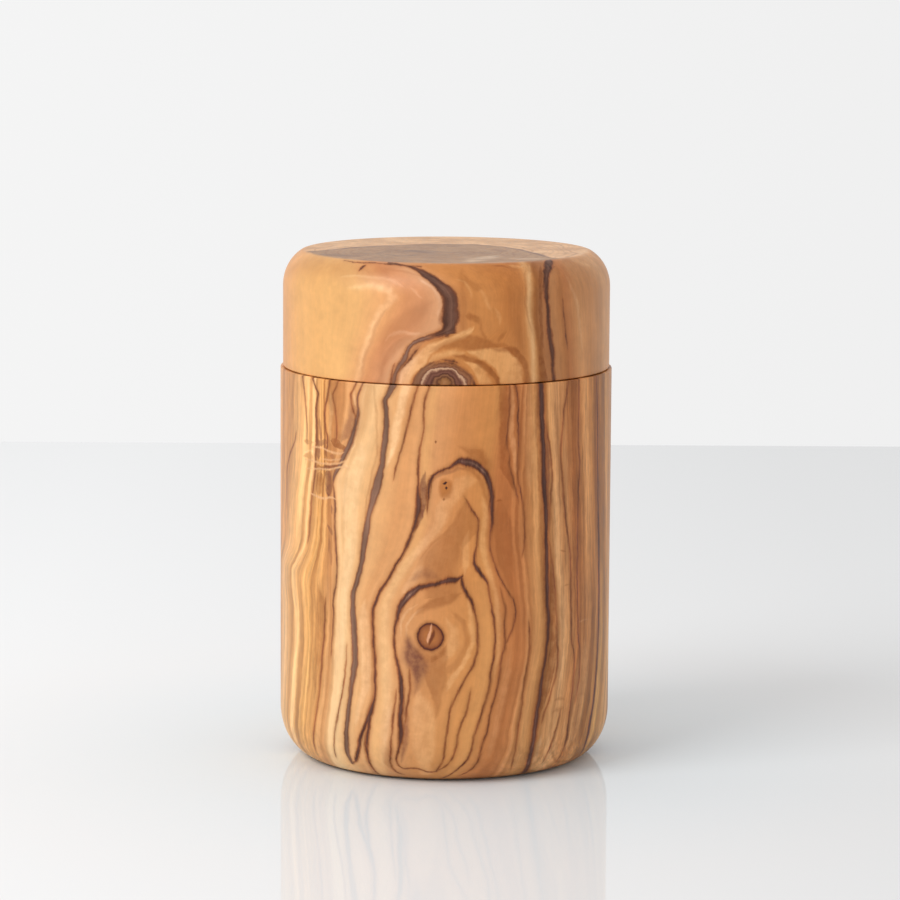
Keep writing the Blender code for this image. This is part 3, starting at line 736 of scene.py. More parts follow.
        "speck": (0.3, 0.7, [(342, 466, 0), (346, 467, 0.4), (350, 470, 0)]),
        "speckHigh": (0.3, 0.7, [(353, 441, 0), (353.5, 446, 0.4), (351, 451, 0)]),
        "leftPale": (0.22, 1.3, [
            (362, 442, 0), (359, 458, 2.6), (353, 478, 4.0), (350, 505, 3.6), (351, 530, 2.8),
            (349, 560, 2.6), (345, 590, 2.0), (343, 620, 1.6), (341, 660, 0)]),
        "leftOval": (0.6, 0.6, [
            (331, 392, 0), (331, 402, 0.8), (331.3, 415, 1.0), (331, 428, 0.8), (331, 442, 0)]),
        "leftPoint": (0.7, 0.5, [(355.5, 388, 0.4), (354.5, 398, 0.7), (356, 406, 0.4), (358.5, 412, 0)]),
        "topMiddle": (0.6, 1.0, [
            (406, 389, 1.6), (401, 410, 1.6), (396, 430, 1.6), (392, 450, 1.2), (388, 466, 0)]),
        "underArch": (0.4, 1.4, [
            (476, 480, 0), (462, 484, 2.6), (450, 500, 2.6), (440, 520, 2.0), (427, 540, 1.6),
            (413, 555, 1.6), (398, 575, 1.8), (388, 596, 2.0), (384, 620, 2.0), (385, 660, 2.0),
            (387, 700, 1.8), (385, 740, 1.4), (384, 766, 0)]),
        "rightOfInner": (0.5, 0.9, [
            (483, 496, 0), (485, 520, 1.2), (483, 545, 1.2), (486, 565, 1.0), (493, 585, 1.0),
            (498, 610, 1.2), (499, 645, 1.0), (495, 680, 0)]),
        "wedgeLight": (0.4, 0.8, [(468, 530, 0), (465, 545, 1.4), (464, 560, 1.6), (464, 573, 0)]),
        "mauveLight": (0.3, 1.2, [(424, 566, 0), (416, 573, 1.6), (409, 584, 1.6), (402, 596, 0)]),
        "ringsLeft": (0.45, 0.5, [(425, 608, 0), (415, 614, 0.4), (409, 624, 0.4), (407, 636, 0)]),
        "ringsFar": (0.4, 0.5, [(419, 604, 0), (409, 610, 0.4), (403, 620, 0.4), (401, 636, 0)]),
        "ringsRight": (0.4, 1.4, [(447, 620, 0), (454, 632, 1.8), (453, 646, 1.8), (446, 660, 0)]),
        "archRight": (0.45, 0.7, [
            (466, 600, 0), (472, 618, 0.9), (472, 640, 0.9), (466, 658, 1.0), (456, 674, 1.0),
            (447, 690, 0)]),
        "lowPanel": (0.34, 1.4, [
            (420, 690, 0), (423, 705, 3.0), (424, 725, 4.6), (424, 750, 4.6), (425, 766, 2.0)]),
        "besideLong": (0.4, 1.0, [
            (365, 600, 0), (364, 620, 1.8), (365.5, 650, 1.8), (365.5, 680, 1.8), (362, 700, 1.4),
            (357, 725, 0)]),
        "yellowBand": (0.9, 0.6, [
            (512.4, 390, 0.6), (512.4, 405, 0.9), (512, 425, 1.1), (512, 440, 1.1), (513.4, 458, 0.9),
            (515, 474, 0)]),
        "besideMainPale": (0.3, 1.2, [
            (528, 388, 2.0), (528.5, 420, 2.2), (529.5, 460, 2.0), (531, 490, 0)]),
        "outerPale": (0.4, 1.2, [
            (510, 650, 0), (507, 670, 1.4), (503, 690, 1.6), (499, 710, 1.4), (494, 735, 1.2),
            (489, 757, 0)]),
        "rightPale": (0.3, 0.9, [
            (556, 389, 1.2), (556, 430, 1.4), (556.5, 470, 1.3), (557, 520, 1.6), (559, 560, 2.0),
            (562, 600, 2.0), (563, 640, 1.4), (561, 680, 1.0), (556, 700, 0)]),
        "rightCross": (0.6, 0.4, [(577, 622, 0), (583, 620.5, 0.4), (589, 620, 0)]),
        "lowPink": (0.4, 0.8, [(541, 735, 0), (537, 748, 1.2), (533, 760, 1.2), (530, 770, 0)]),
    },
    "knots": {
        "small": {"pixel": (445.3, 488.5), "size": (1.7, 2.4), "wobble": 1.3, "rings": [
            (0.0, "#b87434", 0.75), (0.35, "#b06c30", 0.7), (0.62, "#a5642c", 0.6), (0.8, "#a5642c", 0.35),
            (1.0, "#c88850", 0.0)]},
        "round": {"pixel": (430.1, 636.8), "size": (3.3, 3.4), "wobble": 1.0, "rings": [
            (0.0, "#9c6038", 0.85), (0.3, "#b0703f", 0.9), (0.52, "#9a5e38", 0.9), (0.64, "#8a5230", 1.0),
            (0.7, "#5a301c", 1.0), (0.75, "#54301c", 1.0), (0.8, "#8a5430", 0.75), (0.88, "#96603a", 0.4),
            (1.0, "#a5683a", 0.0)]},
    },
    "details": {
        "crack": ("#eeb48c", 0.9, 0.35, [
            (431.6, 624.5, 0), (431, 629, 0.26), (429.8, 633, 0.36), (428.6, 637, 0.6), (427.8, 640, 0.5),
            (427.6, 643.5, 0)]),
        "crackShade": ("#6a3620", 0.85, 0.4, [
            (433.8, 629, 0), (433.2, 633, 0.5), (431.6, 637.5, 0.6), (430.3, 641, 0.5), (429, 646, 0)]),
        "flameLineOne": ("#e8b684", 0.85, 0.4, [
            (311, 448.5, 0), (314, 446.6, 0.3), (320.5, 447.2, 0.3), (325.8, 449.7, 0.34), (331, 452, 0.4),
            (338.6, 453.6, 0.4), (344, 452, 0)]),
        "flameLineTwo": ("#e8b684", 0.8, 0.4, [
            (304, 459, 0), (313, 460.3, 0.3), (320.5, 462.9, 0.34), (330, 464.2, 0.34), (338.6, 462.9, 0.34),
            (346, 461.2, 0)]),
        "flameLineThree": ("#e8b684", 0.7, 0.4, [
            (321, 458.5, 0), (326, 459.6, 0.26), (334, 460, 0.26), (341, 458.6, 0)]),
        "flameLineFour": ("#ecbc8a", 0.8, 0.4, [
            (305.5, 469, 0), (317.4, 468.4, 0.3), (325.8, 469.2, 0.34), (332.2, 468.8, 0.34),
            (344.9, 466.7, 0.4), (350, 468.8, 0)]),
        "flameLineFive": ("#ecbc8a", 0.85, 0.4, [
            (310, 493.4, 0), (317.4, 496.4, 0.4), (322.7, 498, 0.44), (332, 497.6, 0.34), (336.5, 499.8, 0)]),
        "flameUpright": ("#f0c08a", 0.7, 0.4, [
            (314.6, 438, 0), (314.2, 446, 0.34), (313.6, 458, 0.4), (313.2, 470, 0.4), (312, 482, 0)]),
        "holeHigh": ("#3a1808", 1.0, 0.3, [(446.5, 481.5, 0), (445, 483.2, 0.5), (443.5, 484.5, 0)]),
        "holeLow": ("#3a1808", 1.0, 0.3, [(446, 486.3, 0), (446, 488, 0.5), (446, 489.7, 0)]),
        "dot": ("#7a4418", 0.8, 0.4, [(444, 497.7, 0), (444, 499, 0.4), (444, 500.4, 0)]),
        "pinHole": ("#6a3412", 0.9, 0.3, [(435.3, 440.6, 0), (435.3, 442, 0.34), (435.3, 443.4, 0)]),
    },
}

lidWood = {
    "low": 72.0,
    "turn": 1,                         # the crown curves away above the side
    "tintRow": 330,
    "tints": [
        (289, "#e4ac6e"), (300, "#e8b472"), (325, "#eab876"), (352, "#eab878"), (368, "#e6ae74"),
        (378, "#e2a66e"), (392, "#da9a68"), (412, "#d89a6c"), (430, "#dca67a"), (455, "#cf9057"),
        (470, "#cc8c50"), (490, "#cb8a4e"), (505, "#c78448"), (520, "#c48248"), (526, "#ca8a50"),
        (531, "#d6a26a"), (537, "#b67a44"), (543, "#b47c4e"), (552, "#bf8a5b"), (562, "#c28651"),
        (568, "#c2824f"), (578, "#cc9460"), (590, "#c8905c"), (603, "#cc9a68")],
    "stripeRows": (290, 345),
    "upperStripes": [
        (300, 0.5), (500, 0.5), (508, 0.47), (514, 0.44), (520, 0.42), (525, 0.5), (527, 0.62), (531, 0.6),
        (535, 0.4), (538, 0.32), (541, 0.4), (546, 0.42), (550, 0.46), (556, 0.48), (561, 0.43), (564, 0.47),
        (567, 0.54), (570, 0.48), (574, 0.54), (577, 0.46), (583, 0.44), (590, 0.5), (600, 0.55), (606, 0.5)],
    "lowerStripes": [
        (300, 0.5), (500, 0.5), (514, 0.5), (520, 0.44), (526, 0.48), (529, 0.6), (534, 0.62), (537, 0.34),
        (540, 0.3), (543, 0.42), (547, 0.42), (552, 0.44), (558, 0.54), (562, 0.5), (565, 0.44), (567, 0.4),
        (569, 0.5), (575, 0.48), (581, 0.57), (587, 0.5), (594, 0.47), (603, 0.55), (608, 0.5)],
    "plainness": [(-45, 0.1), (-10, 0.1), (5, 0.2), (18, 0.28), (26, 0.28), (45, 0.4)],
    "ringStrength": [(-45, 0.04), (5, 0.05), (20, 0.1), (45, 0.2)],
    "flows": {
        "left": [(318, 282), (320, 320), (322, 370)],
        "bendInside": [(385, 276), (404, 296), (394, 322), (376, 352), (366, 378)],
        "bend": [
            (414, 268), (436, 282), (448, 296), (450, 312), (450, 326), (432, 336), (411, 344), (404, 357),
            (396, 372), (393, 381)],
        "pale": [(527, 277), (528, 314), (532, 350), (533, 379)],
        "right": [(547, 277), (546, 300), (549, 330), (552, 355), (553.5, 378)],
        "rightEdge": [(588, 285), (590, 330), (590, 370)],
    },
    "veinTones": [
        (0.02, "#a5683a", 0.0), (0.2, "#a5683a", 0.12), (0.32, "#9c6238", 0.32), (0.38, "#8e5834", 0.66),
        (0.43, "#825034", 0.88), (0.48, "#70462f", 0.97), (0.56, "#5a392a", 1.0), (0.76, "#614336", 1.0),
        (0.96, "#6c4e40", 1.0)],
    "ragged": 0.9,
    "heartFade": (-0.3, 0.5),
    "heartEdge": 0.8,
    "footGain": (1.0, 1.0, 1.0),
    # A vein drawn paler on the lit left side: partly its own greyer colour, partly painted light
    "paleLitVeins": {
        "bendFoot": [
            (447, 330, 0), (441, 333, 1.3), (434, 336, 1.15), (427, 338.2, 1.0), (420, 340.3, 0.98),
            (412, 344, 0.95), (407.5, 350, 0.95), (404.5, 357, 1.0), (400.5, 364, 1.0), (396.5, 371, 0.92),
            (393.8, 377, 0.9), (393, 382, 0.95)],
    },
    "veins": {
        "bend": [
            (404, 265.4, 0.6), (412, 267, 0.95), (420, 271.5, 1.4), (428, 276, 1.8), (436, 281.5, 2.1),
            (443, 287.5, 2.6), (448, 294, 3.0), (450.5, 302, 3.1), (450.8, 311, 3.2), (450.5, 320, 3.3),
            (449, 327, 2.6), (444, 331.5, 1.5), (437, 334.5, 0.9), (430, 337, 0)],
        "right": [
            (548.5, 259.5, 1.2), (548.3, 263, 2.3), (547.8, 268, 2.1), (547.2, 274, 1.6), (546.4, 282, 1.4),
            (546.2, 292, 1.25), (546.8, 302, 1.1), (547.6, 312, 1.05), (548.4, 322, 1.1), (549.4, 332, 1.25),
            (550.6, 342, 1.2), (552, 352, 1.05), (552.8, 362, 0.95), (553.4, 371, 0.85), (554, 379, 0.8)],
        "tick": [(366, 264.6, 0), (363.6, 266.6, 0.7), (361, 269.2, 0.4), (359.8, 270.6, 0)],
        "topEdge": [
            (345, 260.5, 0), (358, 262.4, 0.3), (374, 263, 0.28), (390, 264, 0.36), (403, 265.3, 0.5)],
        "underBend": [(418, 349, 0), (412, 356, 0.34), (405, 364, 0.3), (400, 370, 0)],
        "twinLine": [(394, 366, 0), (392, 373, 0.28), (390.6, 381, 0.28)],
        "knotLine": [
            (449, 363.5, 0), (456, 365.5, 0.36), (463, 369.5, 0.42), (469, 375, 0.42), (473.5, 382, 0.34)],
        "knotOuter": [
            (414, 383, 0.5), (416.5, 377, 0.5), (421, 371, 0.45), (427, 366, 0.4), (434, 362.6, 0.3),
            (441, 361, 0)],
        "knotTop": [(436, 366, 0), (443, 363.4, 0.3), (450, 363.2, 0.4), (457, 365.4, 0.3), (462, 368, 0)],
        "knotHigh": [(440, 359.4, 0), (447, 360.6, 0.3), (454, 361.4, 0.3), (459, 363.2, 0)],
        "farRight": [
            (562.5, 300, 0), (563.5, 312, 0.22), (565, 325, 0.26), (566, 337, 0.26), (567.5, 348, 0)],
    },
    "shades": {
        # Painted shade: broad browner patches over the crown's rounding, left and right, stand in for how the
        # light falls on it
        "crownLeft": (0.42, 6.0, [
            (289, 270, 0), (298, 265, 5.0), (320, 265, 6.5), (345, 267, 6.5), (365, 270, 6.0),
            (385, 270, 4.0), (402, 268, 0)]),
        "crownRight": (0.22, 6.0, [
            (556, 276, 0), (572, 278, 7.0), (588, 284, 8.0), (598, 298, 7.0), (602, 318, 0)]),
        "bendDeep": (0.3, 2.4, [
            (432, 304, 0), (420, 313, 2.6), (406, 323, 3.6), (393, 333, 3.4), (385, 345, 2.0),
            (379, 360, 0)]),
        "bendLow": (0.4, 1.6, [
            (412, 336, 0), (400, 342, 1.8), (390, 352, 2.0), (383, 366, 1.4), (380, 379, 0.8)]),
        "contour": (0.35, 0.8, [
            (388, 308, 0), (380, 320, 0.5), (373, 336, 0.6), (367, 352, 0.6), (363, 368, 0.6),
            (361, 379, 0.5)]),
        "crownPink": (0.34, 1.0, [
            (340, 268, 0), (360, 270, 0.8), (385, 270.5, 1.0), (404, 271.5, 0.8), (420, 276, 0)]),
        "rightOfBend": (0.4, 1.6, [(461, 268, 0), (463, 290, 1.2), (464, 315, 1.4), (463, 335, 0)]),
        "swirlHigh": (0.4, 1.0, [(463, 273, 0), (467, 281, 1.2), (475, 286, 1.6), (482, 288, 0)]),
        "swirlSpot": (0.65, 1.0, [(464, 316, 0), (470, 315.5, 1.6), (476, 317, 1.2), (480, 324, 0)]),
        "swirlLow": (0.45, 0.8, [
            (481, 318, 0), (481, 330, 0.5), (486, 339, 0.7), (494, 345, 1.0), (504, 345, 1.0),
            (511, 348, 0)]),
        "swirlPoint": (0.4, 0.8, [(507, 332, 0), (502, 336, 0.8), (498, 342, 0)]),
        "overPale": (0.6, 0.9, [
            (430, 352, 0), (440, 347.5, 1.2), (454, 344.4, 1.8), (470, 343, 2.6), (486, 343.6, 2.2),
            (500, 347, 0)]),
        "paleBorder": (0.75, 0.8, [
            (490, 349, 0), (500, 350.6, 0.8), (509, 349.6, 1.2), (516, 353.5, 1.3), (522, 360, 1.4),
            (526, 369, 1.3), (528, 380, 1.2)]),
        "innerBorder": (0.8, 0.6, [
            (452, 356.6, 0), (460, 356.2, 0.7), (468, 358, 0.9), (476, 361.4, 1.0), (484, 366.6, 1.1),
            (491, 373.4, 1.0), (496, 379, 0.9), (498, 383, 0.8)]),
        "knotSoft": (0.55, 1.0, [
            (418, 383, 1.0), (421.5, 376, 1.1), (428, 370, 1.2), (437, 365.5, 1.2), (448, 364, 1.2),
            (458, 367, 1.0), (465, 372, 0.9), (470, 379, 0)]),
        "redWedge": (0.35, 2.0, [
            (511, 272, 0), (510, 290, 2.2), (513, 312, 2.8), (517, 332, 2.2), (521, 350, 0)]),
        "topCorner": (0.6, 0.7, [(490, 266.2, 0), (497, 266, 0.7), (503, 266.6, 0.9), (509, 270, 0)]),
        "besideRight": (0.85, 0.6, [
            (540.5, 265, 0), (540.5, 275, 1.0), (539.5, 290, 0.9), (539.5, 310, 0.9), (541, 330, 1.0),
            (541.5, 350, 1.0), (543, 366, 1.5), (544, 379, 2.0)]),
        "rightWide": (0.34, 1.6, [(576, 272, 0), (582, 284, 1.6), (584, 296, 0.8), (584, 310, 0)]),
        "rightFaint": (0.35, 1.2, [
            (557, 272, 0), (561, 290, 1.0), (563, 310, 1.0), (565, 330, 0.8), (568, 350, 0)]),
        "paleEdge": (0.4, 0.5, [
            (525.5, 268, 0), (524.5, 280, 0.4), (525.5, 300, 0.5), (528, 318, 0.4), (531, 335, 0)]),
    },
    "stains": {
        "knotDark": (0.9, 0.5, [(420, 382, 0.4), (426, 379, 0.9), (433, 379.5, 0.9), (438, 382, 0)]),
        "bendShadow": (0.5, 0.6, [(441, 310, 0), (440.5, 318, 0.6), (442, 326, 0)]),
        "bendPink": (0.3, 0.7, [
            (422, 343.5, 0), (414, 349, 0.8), (409, 357, 0.8), (402, 367, 0.6), (397, 378, 0.7)]),
        "rightTop": (0.6, 0.6, [(543.5, 264, 0), (546, 265, 1.4), (551, 266, 1.4), (555, 266, 0)]),
    },
    "lights": {
        "crownShine": (0.35, 2.0, [
            (548, 257, 0), (560, 257, 2.6), (572, 258.5, 3.0), (582, 262, 2.0), (590, 266, 0)]),
        "contourHigh": (0.4, 0.9, [
            (342, 277, 0), (360, 275.5, 0.5), (380, 277, 0.6), (396, 282.5, 0.7), (402, 286, 0)]),
        "contourIn": (0.45, 1.6, [
            (350, 287, 0), (374, 286, 1.4), (388, 290, 1.6), (392, 298, 1.6), (384, 308, 1.4),
            (376, 322, 1.2), (368, 342, 1.2), (362, 362, 1.0), (359, 378, 1.0)]),
        "bendStreak": (0.3, 0.7, [(409, 288, 0), (414, 291.5, 0.5), (419, 296, 0.3), (423, 299, 0)]),
        "bendRim": (0.4, 0.8, [
            (418, 279, 0), (428, 286, 0.7), (436, 294, 0.8), (439, 304, 0.6), (438, 314, 0)]),
        "bendUnder": (0.45, 0.6, [
            (386, 340, 0), (392, 334.5, 0.4), (402, 332.5, 0.5), (412, 333.5, 0.4), (420, 333, 0)]),
        "paleArch": (0.95, 0.8, [
            (474, 327, 0), (468, 333, 1.0), (456, 338.5, 1.1), (444, 343, 1.1), (433, 348.5, 1.5),
            (422, 356, 2.1), (413, 365, 2.6), (407, 374, 2.4), (404, 382, 2.2)]),
        "paleInner": (0.75, 0.8, [
            (426, 364, 0), (434, 358.6, 1.2), (444, 355.6, 1.1), (454, 353.4, 0.8), (464, 352.4, 0)]),
        "palePanel": (1.15, 0.9, [
            (468, 351, 0), (478, 353.4, 1.4), (489, 357, 2.8), (500, 361.4, 4.2), (508, 368, 4.8),
            (511, 376, 4.8), (512, 382, 4.8)]),
        "paleBetween": (0.8, 0.8, [(464, 361, 0), (472, 366, 1.2), (480, 373, 2.0), (484, 382, 2.4)]),
        "swirlStreak": (0.34, 0.7, [(479, 287, 0), (484, 294, 0.6), (487, 303, 0.6), (490, 311, 0)]),
        "swirlStreakLow": (0.4, 0.7, [(494, 308, 0), (498, 315, 0.8), (500, 325, 0)]),
        "swirlTop": (0.4, 0.7, [(457, 279, 0), (464, 281, 0.5), (469, 288, 0.5), (472, 297, 0)]),
        "topOval": (0.6, 0.7, [(508, 265.5, 0), (513, 266.5, 1.2), (519, 267, 1.2), (524, 265.5, 0)]),
        "paleStrip": (0.45, 0.7, [
            (530, 266, 0.7), (528.5, 280, 0.9), (529, 300, 0.8), (530.5, 320, 0.8), (532.5, 345, 0.9),
            (533.5, 365, 0.9), (534, 379, 0.9)]),
        "rightLong": (0.4, 0.8, [
            (565, 274, 0), (571, 288, 0.6), (577, 304, 0.8), (580, 325, 0.7), (582, 350, 0)]),
        "rightCrack": (0.4, 0.4, [(566, 339, 0), (567, 344, 0.26), (568, 349, 0)]),
    },
    "knots": {
        "seam": {"pixel": (443.6, 384.4), "size": (5.9, 4.3), "wobble": 2.6, "rings": [
            (0.0, "#a67850", 1.0), (0.14, "#94683f", 1.0), (0.22, "#5f3c2a", 1.0), (0.3, "#8c6244", 1.0),
            (0.38, "#54342a", 1.0), (0.46, "#7c5444", 1.0), (0.56, "#644034", 1.0), (0.63, "#8c6450", 1.0),
            (0.68, "#c4a082", 0.95), (0.72, "#c8a688", 0.95), (0.76, "#6e4636", 0.95), (0.82, "#8f6449", 0.9),
            (0.88, "#744a34", 0.85), (0.94, "#9a6a44", 0.5), (1.0, "#a5683a", 0.0)]},
    },
    "details": {
        "knotGrey": ("#8e6a50", 0.6, 0.7, [
            (416.5, 383, 0.7), (418.5, 377.5, 0.7), (422.5, 371.5, 0.7), (428, 367, 0.5), (434, 364.4, 0)]),
    },
}

# Seen from above: where the growth rings start, and how the dark heart lies round them
heart = {
    "pith": (428, 252.5),
    "outline": [
        (402, 265), (373, 262.5), (343, 259), (307, 254.2), (331, 250.7), (366, 247), (402, 245.5),
        (449, 244.3), (496, 246.4), (527, 250.7), (543, 254.2), (552.6, 257.8)],
    "beyond": 45.0,                    # mm: in front, the heart runs out through the side
    "reach": 60.0,
    "outlineGap": 0.012,               # of a whole turn
    "ripple": 0.8,                     # mm
    "rippleLength": 3.0,
    "edgeSoft": (0.25, 0.8),           # mm: the dark line round the heart
    "pithSoft": (0.5, 2.2),
    "pithShare": 0.7,
    "endGrainFrom": (28.2, 27.2),      # mm from the axis
    "darkStreaks": {
        "long": (0.55, 2.0, [(384, 254, 0), (396, 255.5, 1.6), (408, 256, 1.2), (420, 254, 0)]),
        "upper": (0.6, 1.8, [
            (400, 251.6, 0), (412, 251, 1.4), (424, 250.8, 1.6), (438, 251.4, 1.4), (452, 252.4, 1.2),
            (466, 253, 0)]),
        "lower": (0.55, 1.8, [
            (424, 253.5, 0), (436, 254.5, 1.4), (450, 254.8, 1.6), (464, 255.2, 1.2), (476, 255, 0)]),
        "left": (0.4, 2.4, [(316, 254.6, 0), (328, 254.6, 2.4), (342, 255.4, 3.0), (356, 255.6, 0)]),
        "loop": (0.5, 1.0, [
            (396, 258, 0), (384, 256, 0.5), (379, 253.5, 0.6), (386, 251.6, 0.5), (400, 250, 0)]),
        "right": (0.4, 1.6, [(478, 252.6, 0), (488, 252.4, 1.2), (498, 253, 0)]),
        "back": (0.45, 0.8, [(425, 245, 0), (450, 244.6, 0.5), (480, 245.3, 0.5), (505, 247, 0)]),
    },
    "palePatches": {
        "front": (0.5, 3.0, [
            (469, 262.4, 0), (474, 261, 2.4), (482, 259, 4.4), (489, 257.4, 3.4), (495, 255.6, 0)]),
        "frontRight": (0.35, 2.4, [(510, 259, 0), (524, 259, 3.0), (538, 258.8, 2.4), (546, 258.6, 0)]),
        "rim": (0.3, 2.4, [(430, 263.6, 0), (460, 263.8, 2.0), (500, 263, 2.0), (530, 261.4, 0)]),
    },
}

# What a board of this wood shows. Widths are across the grain in mm.
grain = {
    "paleStripe": 1.1,                 # the strength of a stripe with tone 1, and of one with tone 0
    "brownStripe": 1.5,
    "plainTone": 0.5,                  # a stripe of this tone leaves the wood as it is
    "stretch": 0.07,                   # the figure is this much finer across the grain than along it
    "bandWidth": 5.0,                  # soft light and dark bands
    "bandShare": 0.6,
    "brownBand": (0.5, 0.66),          # the noise values where a band starts and where it is full
    "paleBand": (0.5, 0.34),
    "streakWidth": 1.1,                # narrow streaks within them
    "streakTone": 1.0,
    "fibreWidth": 0.4,                 # the finest fibres, drawn twice as coarse as they are
    "fibreTone": 1.0,
    "veinFray": 0.45,                  # how far the fibres carry a vein's edge in and out
    "hatchFrom": (0.35, 0.65),         # the streaks show inside a vein too, as these tones of it
    "hatchTone": (0.72, 1.35),
    "mottleSize": 1.6,                 # short flecks where the grain is wild
    "mottleTone": 0.22,
    "patchFrom": (0.38, 0.6),          # and they make the patches of colour uneven
    "patchTone": (0.7, 1.1),
    # Painted sheen: soft paler and darker clouds in the colour, where the fibres rise and dip
    "sheenCloudSize": 7.0,                  # the sheen where the fibres rise and dip
    "sheenCloudTone": 0.3,
    "oilDepth": (0.935, 0.862, 0.825),  # oil deepens every colour
    "sheenLoss": (-0.015, -0.019, -0.019),   # and its sheen lays white over it, which is taken off here
    "ringSpacing": 1.45,               # growth rings
    "ringWander": 6.0,                 # how far the rings swing in and out of true
    "ringWave": 15.0,                  # over this distance
    "ringWidth": 0.30,
    "viewEnd": 46.0,                   # mm round from the front: the figure is read up to here
    "backStart": 62.0,                 # and from here on, the wood has even bands and rings
    "backBands": 0.6,
    "backRings": 0.5,
    "fibreRelief": 0.010,
    "gloss": 0.4,
    "ior": 1.5,
    "roughness": 0.42,
    "roughnessRange": 0.06,
    "glossFrom": (0.3, 0.7),           # the fibre values that the roughness swings over
}

# How many sizes each noise mixes, and how strong the smaller ones are
noiseKinds = {
    "shake": {"Detail": 4.0, "Roughness": 0.6},
    "streak": {"Detail": 3.0, "Roughness": 0.6},
    "fibre": {"Detail": 2.0, "Roughness": 0.6},
    "mottle": {"Detail": 3.0, "Roughness": 0.55},
    "cloud": {"Detail": 3.0, "Roughness": 0.55},
    "band": {"Detail": 3.0, "Roughness": 0.5},
    "ringWave": {"Detail": 2.0, "Roughness": 0.45},
    "ripple": {"Detail": 2.0},
}

woodColours = {
    "back": "#dda468",
    "paler": (1.35, 1.5, 1.7),         # red, green and blue are multiplied by these
    "palePatch": (1.33, 1.66, 2.15),
    "browner": (0.54, 0.43, 0.36),
    "stain": "#74463a",
    # A paler vein where the left side is lit, partly the vein's own greyer colour and partly painted light:
    # the place from just outside its edge (0) to well inside (1), its colour and its cover
    "paleLitVein": [
        (0.02, "#a5683a", 0.0), (0.2, "#a5683a", 0.12), (0.32, "#9c6238", 0.32), (0.37, "#965c34", 0.5),
        (0.42, "#8c5836", 0.78), (0.46, "#7f503a", 0.92), (0.49, "#75503f", 0.97), (0.53, "#765546", 0.97),
        (0.58, "#7d5f50", 0.96)],
    "ringLine": "#8a5228",
    "heartwood": "#a47c52",
    "sapwood": "#deb17f",
    "heartLine": "#6e4a34",
    "heartStreak": "#7a6048",
    "heartPale": "#e2c8a6",
}


def heartOutline():
    # The heart's edge on the lid's top as (angle, distance) from the pith, by angle. The angle starts in
    # front, where the heart runs out through the side.
    pith, *edge = [Vector(place[:2]) for place in laidFlat(lid, [heart["pith"], *heart["outline"]])]
    outline = []
    for place in edge:
        away = place - pith
        outline.append((math.atan2(-away.x, away.y) / (2 * math.pi) + 0.5, away.length / heart["reach"]))
    outline.sort()
    beyond, gap = heart["beyond"] / heart["reach"], heart["outlineGap"]
    start = [(0.0, beyond), (outline[0][0] - gap, beyond)]
    end = [(outline[-1][0] + gap, beyond), (1.0, beyond)]
    return pith, start + outline + end


def flowLines(piece, wood):
    # Each flow line as (up, around) places from the bottom up, with the middle of its course first
    lines = []
    for flow in wood["flows"].values():
        course = sorted((up, around) for around, up in laidOut(piece, wood, flow))
        lines.append((sum(around for up, around in course) / len(course), course))
    return lines


def courseAt(course, up):
    # How far round a flow line runs at one height
    if up <= course[0][0]:
        return course[0][1]
    for (low, start), (high, end) in zip(course, course[1:]):
        if up <= high:
            return start + (end - start) * (up - low) / (high - low)
    return course[-1][1]


def straightPlace(piece, wood, lines, pixel):
    # Where the wood at a pixel lies once the grain is pulled straight, in spans
    around, up = laidOut(piece, wood, [pixel])[0]
    back = math.pi * pieceRadius(piece)
    pairs = [(-back, -back)] + [(rest, courseAt(course, up)) for rest, course in lines] + [(back, back)]
    for (restLeft, left), (restRight, right) in zip(pairs, pairs[1:]):
        if left <= around <= right:
            rest = restLeft + (restRight - restLeft) * (around - left) / (right - left)
            return 0.5 + rest / layout["span"]
    raise ValueError(f"flow lines cross at pixel {pixel[0]}, {pixel[1]}")


def unrolled(tree, piece, wood):
    # The sockets that the layers below read. Around, up and reach are in mm.
    radius, span = pieceRadius(piece), layout["span"]
    place = addNode(tree, "TexCoord", {}, output="Object")
    place = addNode(tree, "VectorMath", {0: place, "Scale": 1 / mm}, operation="SCALE")
    x = addNode(tree, "SeparateXYZ", {0: place})
    y, height = x.node.outputs[1], x.node.outputs[2]
    front = addNode(tree, "Math", {0: y, 1: -1.0}, operation="MULTIPLY")
    angle = addNode(tree, "Math", {0: x, 1: front}, operation="ARCTAN2")
    around = addNode(tree, "Math", {0: angle, 1: radius}, operation="MULTIPLY")
    level = addNode(tree, "CombineXYZ", {"X": x, "Y": y})
    reach = addNode(tree, "VectorMath", {0: level}, operation="LENGTH", output="Value")
    inset = addNode(tree, "Math", {0: radius, 1: reach}, operation="SUBTRACT")
    up = addNode(tree, "Math", {0: inset, 1: float(wood["turn"]), 2: height}, operation="MULTIPLY_ADD")

    at = {"place": place, "around": around, "upMm": up, "reach": reach, "height": height}
    # A little unevenness, so that no vein looks drawn, and a looser one for patches of colour
    for name, kind, flat in (("side", "vein", False), ("loose", "patch", False), ("top", "patch", True)):
        length, jitter = layout[kind + "Length"], layout["noiseRange"] * layout[kind + "Jitter"] / span
        shake = addNode(tree, "TexNoise", {
            "Vector": place, "Scale": 1 / length, **noiseKinds["shake"]}, output="Color")
        shift = addNode(tree, "SeparateXYZ", {0: shake})
        low = -span / 2 if flat else wood["low"]
        places = []
        for distance, zero, swing in ((x if flat else around, -span / 2, shift),
                                      (y if flat else up, low, shift.node.outputs[1])):
            part = addNode(tree, "Math", {
                0: distance, 1: 1 / span, 2: -zero / span - jitter / 2}, operation="MULTIPLY_ADD")
            places.append(addNode(tree, "Math", {0: swing, 1: jitter, 2: part}, operation="MULTIPLY_ADD"))
        at[name] = {"across": places[0], "up": places[1], "low": low, "shake": shake}
    at["side"]["laid"] = at["loose"]["laid"] = lambda points: laidOut(piece, wood, points)
    at["top"]["laid"] = lambda points: laidFlat(piece, points)
    return at


